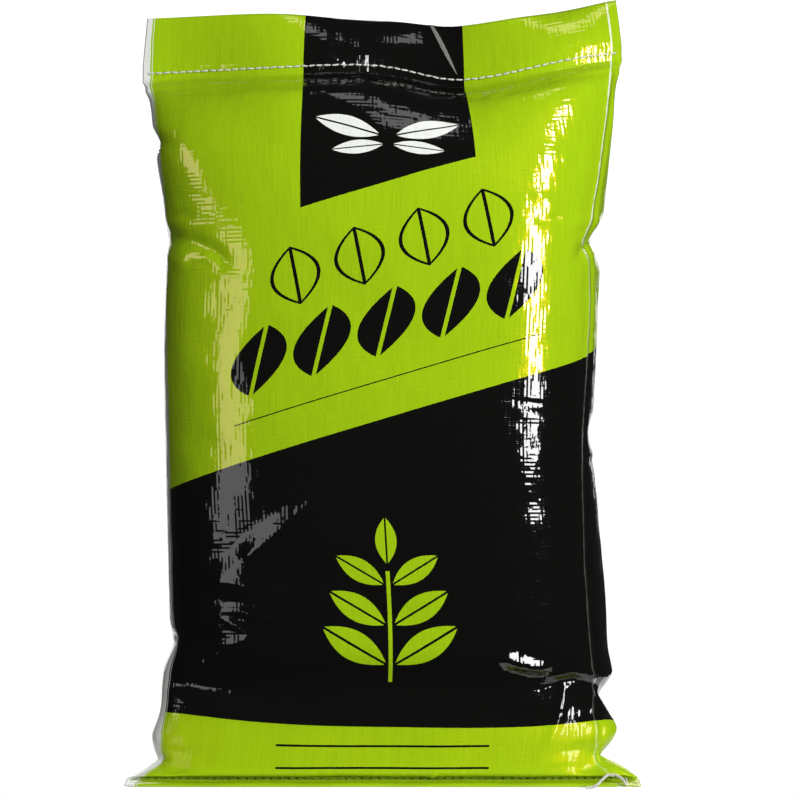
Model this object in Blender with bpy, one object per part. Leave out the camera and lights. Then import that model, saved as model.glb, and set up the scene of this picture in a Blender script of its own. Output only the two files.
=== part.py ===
"""A filled and sewn sack of potting soil, standing on its own base.

The sack starts as a flat sheet: a tube of laminated woven film, pressed flat, with its print on it.
Each point of that sheet has a girth position, measured round the tube from its left fold, and a run,
measured up the front from the edge of the folded hem. The sheet is cut along the print, then every
point is carried to its place on the filled form. The film doesn't stretch, so wherever the soil makes
the sack deeper, its sides are drawn in.

Metres, +Z up, the printed front faces -Y. The origin lies on the floor, under the middle of the sack.
"""

import math

import bmesh
import bpy
import numpy as np
from mathutils.geometry import delaunay_2d_cdt

# The empty sack, laid flat
FLAT_WIDTH = 0.512
HEM_DEPTH = 0.026
FLAP_HEIGHT = 0.0545
HEM_THICKNESS = 0.0028
HEM_EDGE_THINNING = 0.7
FLAP_THICKNESS = 0.0022

# The filled sack
BODY_HEIGHT = 0.7125
FILLED_DEPTH = 0.175
BASE_DEPTH = 0.116
FRONT_SHARE = 0.52
HEM_FORWARD = 0.062
BULGE_OVER_HEM = 0.014
SEAM_BAND = 0.007

# The side folds hang this much lower than the front and back where the sack is fullest
FOLD_LAG = 0.009

# How full the sack is on the way up: (share of the body's height, share of the filled depth)
FULLNESS = (
    (0.19, 0.88),
    (0.29, 0.92),
    (0.49, 1.00),
    (0.63, 0.97),
    (0.74, 0.98),
    (0.80, 0.95),
    (0.86, 0.85),
    (0.92, 0.68),
    (0.965, 0.445),
)

# The hem's stations, as shares of its depth from its edge, and the crease behind it: the heights of its front
# and of its folds in hem thicknesses, and how far its back lies behind them, as a share of the base's depth
HEM_STATIONS = (0.0, 0.2, 0.8)
CREASE_FRONT_HEIGHT = 1.3
CREASE_FOLD_HEIGHT = 0.6
CREASE_BACK_AT = 0.02

# The rounding up from the base: how far the front bulges over the hem, its height, then the place and height
# of the side folds and of the back. Places are shares of the base's depth behind the crease, and heights
# are shares of the lowest height above
BASE_SHAPE = (
    (1.00, 0.07, 0.02, 0.04, 0.12, -0.02),
    (1.00, 0.20, 0.12, 0.17, 0.56, -0.05),
    (0.80, 0.42, 0.28, 0.41, 0.90, -0.03),
    (0.45, 0.68, 0.45, 0.66, 1.02, 0.30),
)

# How far the body leans sideways on the way up: (share of the body's height, shift to the right)
SWAY = ((0.0, 0.0), (0.16, 0.005), (0.50, -0.0045), (0.80, 0.0005), (1.0, -0.001))

# The form of a section, filled and pressed flat: the powers of its width left and right, and of its depth.
# A low power rounds the side more
FILLED_POWERS = (2.7, 4.2, 2.0)
FLAT_POWERS = (14.0, 14.0, 2.6)
FLAT_BELOW_DEPTH = 0.050

# The tube was pressed flat along two folds. Filled, it has turned, so the right fold shows at the front
TURN = 0.010
FOLD_RIDGE = 0.0018
FOLD_RIDGE_REACH = 0.007

# The sewn top: its stitches rise to the right, dip right of the middle and gather the film,
# and the flap above them waves and leans back
SEAM_RISE = 0.022
SEAM_DIP = 0.0205
SEAM_DIP_AT = 0.085
SEAM_DIP_REACHES = (0.065, 0.100)
SEAM_TAKE_UP = 0.050
SWAY_FROM_HEIGHT = 0.60
FLAP_TAKE_UP = 0.020
FLAP_WAVE = 0.012
FLAP_WAVE_LENGTH = 0.270
FLAP_WAVE_START = 0.6

# Where the flap leans back: (place across, how far at the top edge, reach to either side)
FLAP_LEANS = ((-0.020, 0.032, 0.100), (0.200, 0.026, 0.075))
FLAP_LEAN_BEND = 1.5

# Pinches where a side buckles under the soil: (side, height, depth, half height, reach over the front)
PINCHES = (
    (-1, 0.636, 0.007, 0.020, 0.040),
    (-1, 0.536, 0.003, 0.026, 0.075),
    (-1, 0.128, 0.005, 0.028, 0.080),
    (-1, 0.0185, 0.020, 0.022, 0.070),
    (1, 0.536, 0.013, 0.030, 0.060),
    (1, 0.344, 0.011, 0.022, 0.035),
    (1, 0.076, 0.019, 0.026, 0.070),
    (1, 0.0230, 0.027, 0.021, 0.080),
)
PINCH_SHARPNESS = 1.4
PINCH_WIDTH = 0.4
PINCH_VALLEY = 0.55
VALLEY_WIDTH = 0.45
VALLEY_AT = 0.45
VALLEY_REACH = 0.5
VALLEY_LIMIT = 0.5

# The print, on the flat front: girth positions from the left fold, runs from the hem's edge or the top
PRINT_LEFT = 0.006
PRINT_BLEED = 0.018
BACK_MARGIN = 0.006
PRINT_SLANT = 0.300
TAB_LEFT = 0.173
TAB_WIDTH = 0.171
TAB_DROP = 0.206
FIELD_RUN = 0.4015
BAND_RUN = 0.0895
BAND_SLANT = -0.012

# The sprig on the dark field: a stem with leaves in pairs and one at its tip
SPRIG_RUN = 0.135
SPRIG_HEIGHT = 0.170
SPRIG_STEM_WIDTH = 0.004
SPRIG_PAIRS = 3
LEAF_LENGTH = 0.074
LEAF_WIDTH = 0.030
LEAF_RISE_DEGREES = 32
LEAF_STEPS = 5
LEAF_BLUNTNESS = 0.9

# Its parts as shares of its height, or of the first leaves' size
FIRST_PAIR_AT = 0.12
PAIR_SPACING = 0.24
PAIR_SHRINK = 0.13
STEM_TOP_AT = 0.68
TIP_LEAF_AT = 0.72
TIP_LEAF_LENGTH = 0.28
TIP_LEAF_WIDTH = 0.7

# The closing threads
THREAD_DIAMETER = 0.0020
HEM_THREAD_DIAMETER = 0.0016
THREAD_NECK = 0.55
STITCH_LENGTH = 0.0082
THREAD_CLEARANCE = 0.0004
HEM_STITCH_FROM_EDGE = 0.0195
TAIL_DIAMETER = 0.0024

# The loose tail comes out of the crease, right of the middle, and loops over the hem:
# (right, forward of the hem's edge, height)
TAIL_POINTS = (
    (0.2415, -0.0183, 0.0041),
    (0.2418, -0.0110, 0.0042),
    (0.2418, -0.0045, 0.0042),
    (0.2416, 0.0012, 0.0042),
    (0.2405, 0.0046, 0.0046),
    (0.2390, 0.0050, 0.0068),
    (0.2365, 0.0015, 0.0092),
    (0.2325, -0.0035, 0.0106),
    (0.2285, -0.0070, 0.0110),
    (0.2235, -0.0070, 0.0108),
    (0.2190, -0.0020, 0.0092),
    (0.2150, 0.0030, 0.0068),
    (0.2110, 0.0060, 0.0038),
    (0.2060, 0.0075, 0.0020),
    (0.1995, 0.0080, 0.0016),
)
TAIL_STEP_DIAMETERS = 2

# How finely the form is divided
COLUMNS_PER_FACE = 24
COLUMN_CROWDING = 0.62
RING_STEP = 0.0145
CURVE_SAMPLES = 361
TABLE_ROWS = 700
PRINT_SPACING = 0.022
CLEAR_OF_PRINT = 0.0028
COLUMN_GAP = 0.0032
CUT_MERGE = 1e-6
HEM_RINGS = (0.15, 0.45, 0.85, 1.0)
CREASE_RING_STEPS = (0.004, 0.010, 0.018, 0.028)
SEAM_RINGS = (-2.2, -1.0, 0.0, 1.0, 2.4, 4.0)
RING_GAP = 0.0035
LEAST_RING_GAP = 0.0028
SHARP_DEGREES = 50

# The seam's place among the side stations, counted back from the top edge
SEAM_STATION = -3

# A section's half width is looked for between these shares of the flat width, by halving
HALF_WIDTH_SHARES = (0.25, 0.5)
HALVINGS = 30

# The finishes: linear colour, roughness and gloss coat
FILM_FINISHES = (
    ("lime_print", (0.29, 0.50, 0.012), 0.30, 0.5),
    ("black_print", (0.006, 0.0065, 0.006), 0.25, 0.5),
    ("white_weave", (0.72, 0.73, 0.70), 0.45, 0.0),
)
THREAD_FINISH = ("white_thread", (0.70, 0.70, 0.66), 0.7, 0.0)

GIRTH = 2 * FLAT_WIDTH
MIDDLE_FORWARD = (HEM_FORWARD + HEM_DEPTH - (1 - FRONT_SHARE) * FILLED_DEPTH) / 2
COLOURS = ("lime", "black", "white")


def ease(share):
    """A smooth step from 0 to 1."""
    share = np.clip(share, 0.0, 1.0)
    return share * share * (3 - 2 * share)


def through(stations, at):
    """A smooth curve through (place, value) stations, level past its ends, that never swings beyond them."""
    place, value = np.array(stations, float).T
    rise = np.diff(value) / np.diff(place)
    before, after = rise[:-1], rise[1:]
    same_way = before * after > 0
    shared = 2 * before * after / np.where(same_way, before + after, 1.0)
    slope = np.concatenate([rise[:1], np.where(same_way, shared, 0.0), rise[-1:]])
    at = np.clip(at, place[0], place[-1])
    i = np.clip(np.searchsorted(place, at, side="right") - 1, 0, len(place) - 2)
    step = place[i + 1] - place[i]
    s = (at - place[i]) / step
    return (
        value[i] * (1 + 2 * s) * (1 - s) ** 2
        + value[i + 1] * s * s * (3 - 2 * s)
        + step * slope[i] * s * (1 - s) ** 2
        + step * slope[i + 1] * s * s * (s - 1)
    )


def side_stations():
    """The front, side and back lines of the sack in side view, from the hem's edge to the top edge.

    Each row is (front y, front z, fold y, fold z, back y, back z). On the hem the front line runs over
    the back line. From there the front and the side folds climb while the back runs under the soil,
    then all climb to the seam. A back line below the floor is pressed flat by it.
    """
    edge = -HEM_FORWARD - HEM_DEPTH
    crease = -HEM_FORWARD
    rounded = FULLNESS[0][0] * BODY_HEIGHT
    rows = []
    for share in HEM_STATIONS:
        y = edge + share * HEM_DEPTH
        thickness = HEM_THICKNESS * (1 if share else HEM_EDGE_THINNING)
        rows.append((y, thickness, y, thickness / 2, y, 0.0))
    front_z, fold_z = CREASE_FRONT_HEIGHT * HEM_THICKNESS, CREASE_FOLD_HEIGHT * HEM_THICKNESS
    rows.append((crease, front_z, crease, fold_z, crease + CREASE_BACK_AT * BASE_DEPTH, 0.0))
    for bulge, front_z, fold_y, fold_z, back_y, back_z in BASE_SHAPE:
        row = (crease - bulge * BULGE_OVER_HEM, front_z * rounded, crease + fold_y * BASE_DEPTH)
        row += (fold_z * rounded, crease + back_y * BASE_DEPTH, back_z * rounded)
        rows.append(row)
    for height, depth in FULLNESS:
        z = height * BODY_HEIGHT
        front, back = -FRONT_SHARE * depth * FILLED_DEPTH, (1 - FRONT_SHARE) * depth * FILLED_DEPTH
        rows.append((front, z, (front + back) / 2, z - FOLD_LAG * depth, back, z))
    half = FLAP_THICKNESS / 2
    top = BODY_HEIGHT + FLAP_HEIGHT
    for z in (BODY_HEIGHT - SEAM_BAND, BODY_HEIGHT, BODY_HEIGHT + SEAM_BAND, top):
        rows.append((-half, z, 0.0, z, half, z))
    return rows


def section_curve(half_width, half_depth, powers):
    """A closed section from its left end round the front: (across, forward) for each sample."""
    turn = np.linspace(0, 2 * math.pi, CURVE_SAMPLES)
    across, forward = -np.cos(turn), np.sin(turn)
    power = np.where(across < 0, powers[..., 0:1], powers[..., 1:2])
    across = np.sign(across) * np.abs(across) ** (2 / power)
    forward = np.sign(forward) * np.abs(forward) ** (2 / powers[..., 2:3])
    return half_width[..., None] * across, half_depth[..., None] * forward


def lengths_along(across, forward):
    steps = np.hypot(np.diff(across, axis=-1), np.diff(forward, axis=-1))
    return np.concatenate([np.zeros(steps.shape[:-1] + (1,)), np.cumsum(steps, axis=-1)], axis=-1)


class Form:
    """The filled form: carries a girth position and a run to a point in space."""

    def __init__(self):
        rows = np.array(side_stations())
        at = np.linspace(0, len(rows) - 1, TABLE_ROWS)
        lines = np.stack([through(list(enumerate(column)), at) for column in rows.T], axis=1)
        self.front, self.fold, self.back = lines[:, 0:2], lines[:, 2:4], lines[:, 4:6]
        steps = np.linalg.norm(np.diff(self.front, axis=0), axis=1)
        self.run = np.concatenate([[0], np.cumsum(steps)])
        self.top_run = self.run[-1]
        self.seam_run = float(np.interp(len(rows) + SEAM_STATION, at, self.run))
        depth = np.linalg.norm(self.front - self.back, axis=1)
        self.half_depth = depth / 2
        flat = 1 - ease(depth / FLAT_BELOW_DEPTH)
        self.powers = np.array(FILLED_POWERS) + flat[:, None] * np.subtract(FLAT_POWERS, FILLED_POWERS)
        self.half_width = self.solve_half_width()
        self.across_shift = through(SWAY, self.fold[:, 1] / BODY_HEIGHT)

    def solve_half_width(self):
        """The half width that keeps each section's girth at the sheet's own."""
        low, high = (np.full(len(self.half_depth), share * FLAT_WIDTH) for share in HALF_WIDTH_SHARES)
        for _ in range(HALVINGS):
            half = (low + high) / 2
            girth = lengths_along(*section_curve(half, self.half_depth, self.powers))[:, -1]
            low, high = np.where(girth < GIRTH, half, low), np.where(girth < GIRTH, high, half)
        return (low + high) / 2

    def at_run(self, values, run):
        """A table's value at each run."""
        if values.ndim == 1:
            return np.interp(run, self.run, values)
        return np.stack([np.interp(run, self.run, column) for column in values.T], axis=-1)

    def run_at_height(self, height):
        """The run at which the sides stand at a height."""
        return float(np.interp(height, self.fold[:, 1], self.run))

    def place(self, girth, run):
        """The points in space for girth positions and runs: an array of (x, y, z)."""
        girth = np.asarray(girth, float) % GIRTH
        run = np.asarray(run, float)
        half_width = self.at_run(self.half_width, run)
        half_depth = self.at_run(self.half_depth, run)
        across, forward = section_curve(half_width, half_depth, self.at_run(self.powers, run))
        lengths = lengths_along(across, forward)
        lengths *= (GIRTH / lengths[:, -1])[:, None]
        x, out = np.empty(len(girth)), np.empty(len(girth))
        for i, g in enumerate(girth):
            x[i] = np.interp(g, lengths[i], across[i])
            out[i] = np.interp(g, lengths[i], forward[i])
        x, out = self.fold_ridges(girth, run, x, out, half_depth)
        x, out = self.pinches(girth, run, x, out, half_depth)
        share = ((half_depth - out) / (2 * half_depth))[:, None]
        front, fold, back = (self.at_run(line, run) for line in (self.front, self.fold, self.back))
        pull = 2 * fold - (front + back) / 2
        y, z = ((1 - share) ** 2 * front + 2 * share * (1 - share) * pull + share**2 * back).T
        x = x + self.at_run(self.across_shift, run)
        x, y, z = self.sway_of_top(x, y + MIDDLE_FORWARD, z, run)
        return np.stack([x, y, np.maximum(z, 0.0)], axis=1)

    def fold_ridges(self, girth, run, x, out, half_depth):
        """The pressed folds stand a little proud of the filled sides."""
        side = np.sign(x)
        fold = np.where(side > 0, FLAT_WIDTH - TURN, GIRTH - TURN)
        proud = FOLD_RIDGE * np.exp(-np.abs(girth - fold) / FOLD_RIDGE_REACH)
        proud = proud * ease(half_depth / FLAT_BELOW_DEPTH)
        proud *= math.sqrt(0.5)
        return x + side * proud, out + np.sign(out) * proud

    def pinches(self, girth, run, x, out, half_depth):
        """Draws the sides in at each pinch, with a valley that runs on over the front and back."""
        x, out = x.copy(), out.copy()
        for side, height, depth, half_height, reach in PINCHES:
            centre = self.run_at_height(height)
            fold = 0.0 if side < 0 else FLAT_WIDTH
            away = np.abs(girth - fold)
            away = np.minimum(away, GIRTH - away)
            notch = np.clip(1 - np.abs(run - centre) / half_height, 0, 1) ** PINCH_SHARPNESS
            x -= side * depth * notch * np.exp(-((away / (PINCH_WIDTH * reach)) ** 2))
            valley = np.exp(-(((run - centre) / (VALLEY_WIDTH * half_height)) ** 2))
            spread = np.exp(-(((away - VALLEY_AT * reach) / (VALLEY_REACH * reach)) ** 2))
            push = PINCH_VALLEY * depth * valley * spread * ease(half_depth / FLAT_BELOW_DEPTH)
            out -= np.sign(out) * np.minimum(push, VALLEY_LIMIT * np.abs(out))
        return x, out

    def sway_of_top(self, x, y, z, run):
        """Raises, dips, gathers, waves and leans the sewn top, more and more on the way up."""
        free = ease((z - SWAY_FROM_HEIGHT) / (BODY_HEIGHT - SWAY_FROM_HEIGHT))
        above = np.clip((run - self.seam_run - SEAM_BAND) / (FLAP_HEIGHT - SEAM_BAND), 0, 1)
        dip_reach = np.where(x < SEAM_DIP_AT, *SEAM_DIP_REACHES)
        dip = SEAM_DIP * np.exp(-(((x - SEAM_DIP_AT) / dip_reach) ** 2))
        turn = 2 * math.pi / FLAP_WAVE_LENGTH
        wave = FLAP_WAVE * free**2
        y = y + wave * np.sin(turn * x + FLAP_WAVE_START)
        z = z + free * (SEAM_RISE * x / FLAT_WIDTH - dip)
        for at, lean, reach in FLAP_LEANS:
            back = lean * above**FLAP_LEAN_BEND * np.exp(-(((x - at) / reach) ** 2))
            y, z = y + back, z - back**2 / (2 * FLAP_HEIGHT)
        shorter = (1 - (wave * turn) ** 2 / 4) * (1 - SEAM_TAKE_UP * free - FLAP_TAKE_UP * above)
        return x * shorter, y, z


def columns():
    """Girth positions of one face's columns, crowded towards its folds and set on the print's edges."""
    share = np.linspace(0, 1, COLUMNS_PER_FACE + 1)
    crowded = (1 - np.cos(math.pi * share)) / 2
    even = FLAT_WIDTH * ((1 - COLUMN_CROWDING) * share + COLUMN_CROWDING * crowded)
    set_places = [0.0, PRINT_LEFT, TURN, TAB_LEFT, TAB_LEFT + TAB_WIDTH]
    set_places += [FLAT_WIDTH - PRINT_BLEED - BACK_MARGIN, FLAT_WIDTH - PRINT_BLEED]
    set_places += [FLAT_WIDTH - TURN, FLAT_WIDTH]
    clear = [g for g in even if min(abs(g - place) for place in set_places) > COLUMN_GAP]
    return np.array(sorted(set_places + clear))


def rings(form):
    """Runs of the mesh's rings: even up the body, closer on the hem, at the seam and at each pinch."""
    wanted = [0.0] + [share * HEM_DEPTH for share in HEM_RINGS]
    wanted += [HEM_DEPTH + step for step in CREASE_RING_STEPS]
    seam = form.seam_run
    wanted += [seam + bands * SEAM_BAND for bands in SEAM_RINGS] + [form.top_run]
    for _, height, _, half_height, _ in PINCHES:
        centre = form.run_at_height(height)
        wanted += [centre + share * half_height for share in (-1, -VALLEY_WIDTH, 0, VALLEY_WIDTH, 1)]
    wanted = sorted(wanted)
    kept = [wanted[0]]
    for run in wanted[1:]:
        if run - kept[-1] > RING_GAP or run in (seam, form.top_run):
            while run - kept[-1] < LEAST_RING_GAP:
                kept.pop()
            gap = run - kept[-1]
            parts = max(1, round(gap / RING_STEP))
            kept += [kept[-1] + gap * i / parts for i in range(1, parts)] + [run]
    return kept


def leaf_outline(base, angle, length, width):
    """A pointed leaf: two arcs that meet at its base and tip."""
    share = np.linspace(0, 1, LEAF_STEPS + 1)
    along, half = length * share, width / 2 * np.sin(math.pi * share) ** LEAF_BLUNTNESS
    one_side = np.stack([along, half], axis=1)
    other_side = np.stack([along, -half], axis=1)[-2:0:-1]
    points = np.concatenate([one_side, other_side])
    cos, sin = math.cos(angle), math.sin(angle)
    return points @ np.array([[cos, sin], [-sin, cos]]) + base


def sprig_outlines():
    """The sprig's leaves, clear of its stem, and the stem."""
    middle = FLAT_WIDTH / 2
    rise = math.radians(LEAF_RISE_DEGREES)
    leaves = []
    for pair in range(SPRIG_PAIRS):
        run = SPRIG_RUN + SPRIG_HEIGHT * (FIRST_PAIR_AT + PAIR_SPACING * pair)
        size = 1 - PAIR_SHRINK * pair
        for side, angle in ((1, rise), (-1, math.pi - rise)):
            base = (middle + side * SPRIG_STEM_WIDTH, run)
            leaves.append(leaf_outline(base, angle, LEAF_LENGTH * size, LEAF_WIDTH * size))
    tip = (middle, SPRIG_RUN + SPRIG_HEIGHT * TIP_LEAF_AT)
    leaves.append(leaf_outline(tip, math.pi / 2, TIP_LEAF_LENGTH * SPRIG_HEIGHT, TIP_LEAF_WIDTH * LEAF_WIDTH))
    foot, head = SPRIG_RUN, SPRIG_RUN + SPRIG_HEIGHT * STEM_TOP_AT
    left, right = middle - SPRIG_STEM_WIDTH / 2, middle + SPRIG_STEM_WIDTH / 2
    return leaves + [np.array([(left, foot), (right, foot), (right, head), (left, head)])]


def print_fields(face, top_run):
    """The printed fields of one face: (colour, outline), each over the ones before it.

    The back carries the front's fields in plain form, from the white margin beside the front's bleed.
    """
    start = face * FLAT_WIDTH
    middle = start + FLAT_WIDTH / 2
    if face == 0:
        left, right = PRINT_LEFT, FLAT_WIDTH + PRINT_BLEED
        tab_left = TAB_LEFT
    else:
        left, right = FLAT_WIDTH + PRINT_BLEED + BACK_MARGIN, GIRTH - PRINT_LEFT
        tab_left = GIRTH - TAB_LEFT - TAB_WIDTH

    def field(x0, x1, run0, run1, slants=(0, 0)):
        """A field between two runs, each level or slanted about the middle of its face."""
        corners = ((x0, run0, slants[0]), (x1, run0, slants[0]), (x1, run1, slants[1]), (x0, run1, slants[1]))
        return np.array([(x, run + slant * (x - middle)) for x, run, slant in corners])

    fields = [
        ("lime", field(left, right, 0, top_run)),
        ("black", field(tab_left, tab_left + TAB_WIDTH, top_run - TAB_DROP, top_run, (PRINT_SLANT, 0))),
        ("black", field(left, right, BAND_RUN, FIELD_RUN, (BAND_SLANT, PRINT_SLANT))),
    ]
    if face == 0:
        fields += [("lime", outline) for outline in sprig_outlines()]
    return fields


def divided(start, end):
    """Points from start to end, close enough to follow the filled form."""
    parts = max(1, math.ceil(np.linalg.norm(end - start) / PRINT_SPACING))
    return [start + (end - start) * i / parts for i in range(parts + 1)]


def inside(points, outline):
    """Which points lie inside a closed outline."""
    x, y = points.T
    result = np.zeros(len(points), bool)
    for (x0, y0), (x1, y1) in zip(outline, np.roll(outline, -1, axis=0)):
        if y0 != y1:
            result ^= ((y0 > y) != (y1 > y)) & (x < (x1 - x0) * (y - y0) / (y1 - y0) + x0)
    return result


def distance_to(points, start, end):
    """How far each point is from a straight side."""
    side = end - start
    share = np.clip((points - start) @ side / (side @ side), 0, 1)
    return np.linalg.norm(points - start - share[:, None] * side, axis=1)


def flat_sheet(form):
    """The flat sheet, cut along its print: points (girth, run), triangles, and a colour for each."""
    front = columns()
    girths = np.concatenate([front, GIRTH - front[-2::-1]])
    grid = np.array([(g, run) for run in rings(form) for g in girths])
    keep = np.zeros(len(grid), bool)
    for place, value in ((0, 0.0), (0, GIRTH), (1, 0.0), (1, form.top_run), (1, form.seam_run)):
        keep |= np.isclose(grid[:, place], value, atol=1e-9)
    fields = print_fields(0, form.top_run) + print_fields(1, form.top_run)
    points, joins = [], []
    for _, outline in fields:
        for start, end in zip(outline, np.roll(outline, -1, axis=0)):
            on_column = start[0] == end[0] and np.min(np.abs(girths - start[0])) < CUT_MERGE
            along_edge = start[1] == end[1] and start[1] in (0, form.top_run)
            if on_column or along_edge:
                continue
            line = divided(start, end)
            joins += [(len(points) + i, len(points) + i + 1) for i in range(len(line) - 1)]
            points += line
            clear = keep | (distance_to(grid, start, end) > CLEAR_OF_PRINT)
            grid, keep = grid[clear], keep[clear]
    points = [tuple(p) for p in points] + [tuple(p) for p in grid]
    points, _, triangles, _, _, _ = delaunay_2d_cdt(points, joins, [], 0, CUT_MERGE)
    points, triangles = np.array(points, float), np.array(triangles)
    centres = points[triangles].mean(axis=1)
    colours = np.full(len(triangles), COLOURS.index("white"))
    for colour, outline in fields:
        colours[inside(centres, outline)] = COLOURS.index(colour)
    return points, triangles, colours


def make_material(name, colour, roughness, coat):
    material = bpy.data.materials.new(name)
    material.use_nodes = True
    shader = material.node_tree.nodes["Principled BSDF"]
    shader.inputs["Base Color"].default_value = (*colour, 1)
    shader.inputs["Roughness"].default_value = roughness
    shader.inputs["Coat Weight"].default_value = coat
    material.diffuse_color = (*colour, 1)
    return material


def add_object(name, data, materials):
    obj = bpy.data.objects.new(name, data)
    bpy.context.scene.collection.objects.link(obj)
    for material in materials:
        data.materials.append(material)
    return obj


def close_edge(mesh, front_row, back_row):
    """Joins the front and back films along the top edge or the hem's edge."""
    for i in range(len(front_row) - 1):
        corners = [front_row[i], front_row[i + 1], back_row[i + 1], back_row[i]]
        corners = list(dict.fromkeys(corners))
        mesh.faces.new(corners)


def make_sack(form, materials):
    """The whole sack: the cut sheet carried to the filled form, with both its edges closed."""
    points, triangles, colours = flat_sheet(form)
    girth, run = points.T
    girth = np.where(girth > GIRTH - CUT_MERGE, 0.0, girth)
    keys = [(round(g, 7), round(r, 7)) for g, r in zip(girth, run)]
    mesh = bmesh.new()
    corner = {}
    for key, place in zip(keys, form.place(girth, run)):
        if key not in corner:
            corner[key] = mesh.verts.new(place)
    for triangle, colour in zip(triangles, colours):
        face = mesh.faces.new([corner[keys[i]] for i in triangle])
        face.material_index = int(colour)
    for edge_run in (0.0, form.top_run):
        row = sorted(key for key in corner if abs(key[1] - edge_run) < CUT_MERGE)
        front_row = [corner[key] for key in row if key[0] <= FLAT_WIDTH + CUT_MERGE]
        back_row = [corner[key] for key in row if key[0] >= FLAT_WIDTH - CUT_MERGE][::-1]
        close_edge(mesh, front_row, [front_row[0], *back_row])
    bmesh.ops.triangulate(mesh, faces=mesh.faces[:])
    bmesh.ops.recalc_face_normals(mesh, faces=mesh.faces[:])
    data = bpy.data.meshes.new("sack")
    mesh.to_mesh(data)
    mesh.free()
    data.shade_smooth()
    data.set_sharp_from_angle(angle=math.radians(SHARP_DEGREES))
    return add_object("sack", data, materials)


def thread_line(form, run, face, diameter):
    """Points along one row of stitches, lifted clear of the sack's own facets, with a swell per point."""
    front = columns()
    girths = front if face == 0 else GIRTH - front
    surface = form.place(girths, np.full(len(girths), run))
    below, over = (form.place(girths, np.full(len(girths), run + step)) for step in (-diameter / 2, diameter / 2))
    along = np.gradient(surface, axis=0)
    outward = np.cross(along, over - below) * (1 if face == 0 else -1)
    outward /= np.linalg.norm(outward, axis=1)[:, None]
    lifted = surface + outward * (diameter / 2 + THREAD_CLEARANCE)
    distance = np.concatenate([[0], np.cumsum(np.linalg.norm(np.diff(lifted, axis=0), axis=1))])
    stitches = max(1, round(distance[-1] / STITCH_LENGTH))
    at = np.linspace(0, distance[-1], 2 * stitches + 1)
    line = np.stack([np.interp(at, distance, column) for column in lifted.T], axis=1)
    swell = [THREAD_NECK if i % 2 == 0 else 1.0 for i in range(len(line))]
    return line, swell


def make_cord(name, line, diameter, material, swell=None, resolution=1):
    """A round cord along a line, as thick as swell says at each point."""
    data = bpy.data.curves.new(name, "CURVE")
    data.dimensions = "3D"
    data.bevel_depth = diameter / 2
    data.bevel_resolution = resolution
    data.use_fill_caps = True
    spline = data.splines.new("POLY")
    spline.points.add(len(line) - 1)
    for i, (point, place) in enumerate(zip(spline.points, line)):
        point.co = (*place, 1)
        point.radius = swell[i] if swell else 1.0
    return add_object(name, data, [material])


def tail_line():
    """The loose tail's route, a smooth curve read every few diameters."""
    hem_edge = MIDDLE_FORWARD - HEM_FORWARD - HEM_DEPTH
    route = np.array([(right, hem_edge - forward, up) for right, forward, up in TAIL_POINTS])
    knots = np.concatenate([[0], np.cumsum(np.linalg.norm(np.diff(route, axis=0), axis=1))])
    count = round(knots[-1] / (TAIL_STEP_DIAMETERS * TAIL_DIAMETER)) + 1
    at = np.linspace(0, knots[-1], count)
    return np.stack([through(list(zip(knots, column)), at) for column in route.T], axis=1)


def main():
    for obj in list(bpy.data.objects):
        bpy.data.objects.remove(obj, do_unlink=True)
    form = Form()
    thread = make_material(*THREAD_FINISH)
    make_sack(form, [make_material(*finish) for finish in FILM_FINISHES])
    for name, face in (("top_front_thread", 0), ("top_back_thread", 1)):
        line, swell = thread_line(form, form.seam_run, face, THREAD_DIAMETER)
        make_cord(name, line, THREAD_DIAMETER, thread, swell)
    line, swell = thread_line(form, HEM_STITCH_FROM_EDGE, 0, HEM_THREAD_DIAMETER)
    make_cord("bottom_closing_thread", line, HEM_THREAD_DIAMETER, thread, swell, resolution=0)
    make_cord("thread_tail", tail_line(), TAIL_DIAMETER, thread, resolution=2)


main()
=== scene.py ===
"""Dresses the filled and sewn sack of potting soil and lights it in a plain studio.

The sack is worked out as it is made: a flat tube of laminated woven film with its print on it, filled, stood up
and sewn. A place on the flat tube is a girth position, measured round it from its left fold, and a run, measured
up the front from the edge of the folded hem. Every size is in metres.
"""

import sys
import logging
import math
from dataclasses import dataclass
from enum import Enum
from functools import partial

import bpy
import numpy as np
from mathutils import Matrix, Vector, noise


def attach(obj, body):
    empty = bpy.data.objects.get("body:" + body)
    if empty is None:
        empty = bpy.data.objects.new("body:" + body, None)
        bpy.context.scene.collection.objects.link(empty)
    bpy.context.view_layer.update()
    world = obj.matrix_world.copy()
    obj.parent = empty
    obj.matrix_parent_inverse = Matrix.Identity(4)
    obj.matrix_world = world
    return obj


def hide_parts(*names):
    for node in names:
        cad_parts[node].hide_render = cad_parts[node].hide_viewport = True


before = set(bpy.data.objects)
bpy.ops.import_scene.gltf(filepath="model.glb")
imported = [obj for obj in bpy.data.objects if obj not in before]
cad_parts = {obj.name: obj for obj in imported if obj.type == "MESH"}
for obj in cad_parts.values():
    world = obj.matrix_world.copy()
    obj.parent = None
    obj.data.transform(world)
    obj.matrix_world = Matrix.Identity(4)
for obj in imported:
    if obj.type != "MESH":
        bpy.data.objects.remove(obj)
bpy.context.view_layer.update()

LOG = logging.getLogger("potting_soil_sack")
ROOT = "root"
MM = 0.001
# What links a shader's nodes: a node, which stands for its first output, or one of its outputs
Wire = bpy.types.Node | bpy.types.NodeSocket


def linear(hex_colour: str) -> tuple[float, float, float, float]:
    """Turns an sRGB hex colour to linear.

    Args:
        hex_colour: Six hex digits with a leading hash.

    Returns:
        The linear red, green, blue and an alpha of 1.
    """
    parts = [int(hex_colour[i : i + 2], 16) / 255 for i in (1, 3, 5)]
    flat = [c / 12.92 if c <= 0.04045 else ((c + 0.055) / 1.055) ** 2.4 for c in parts]
    return (flat[0], flat[1], flat[2], 1.0)


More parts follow.
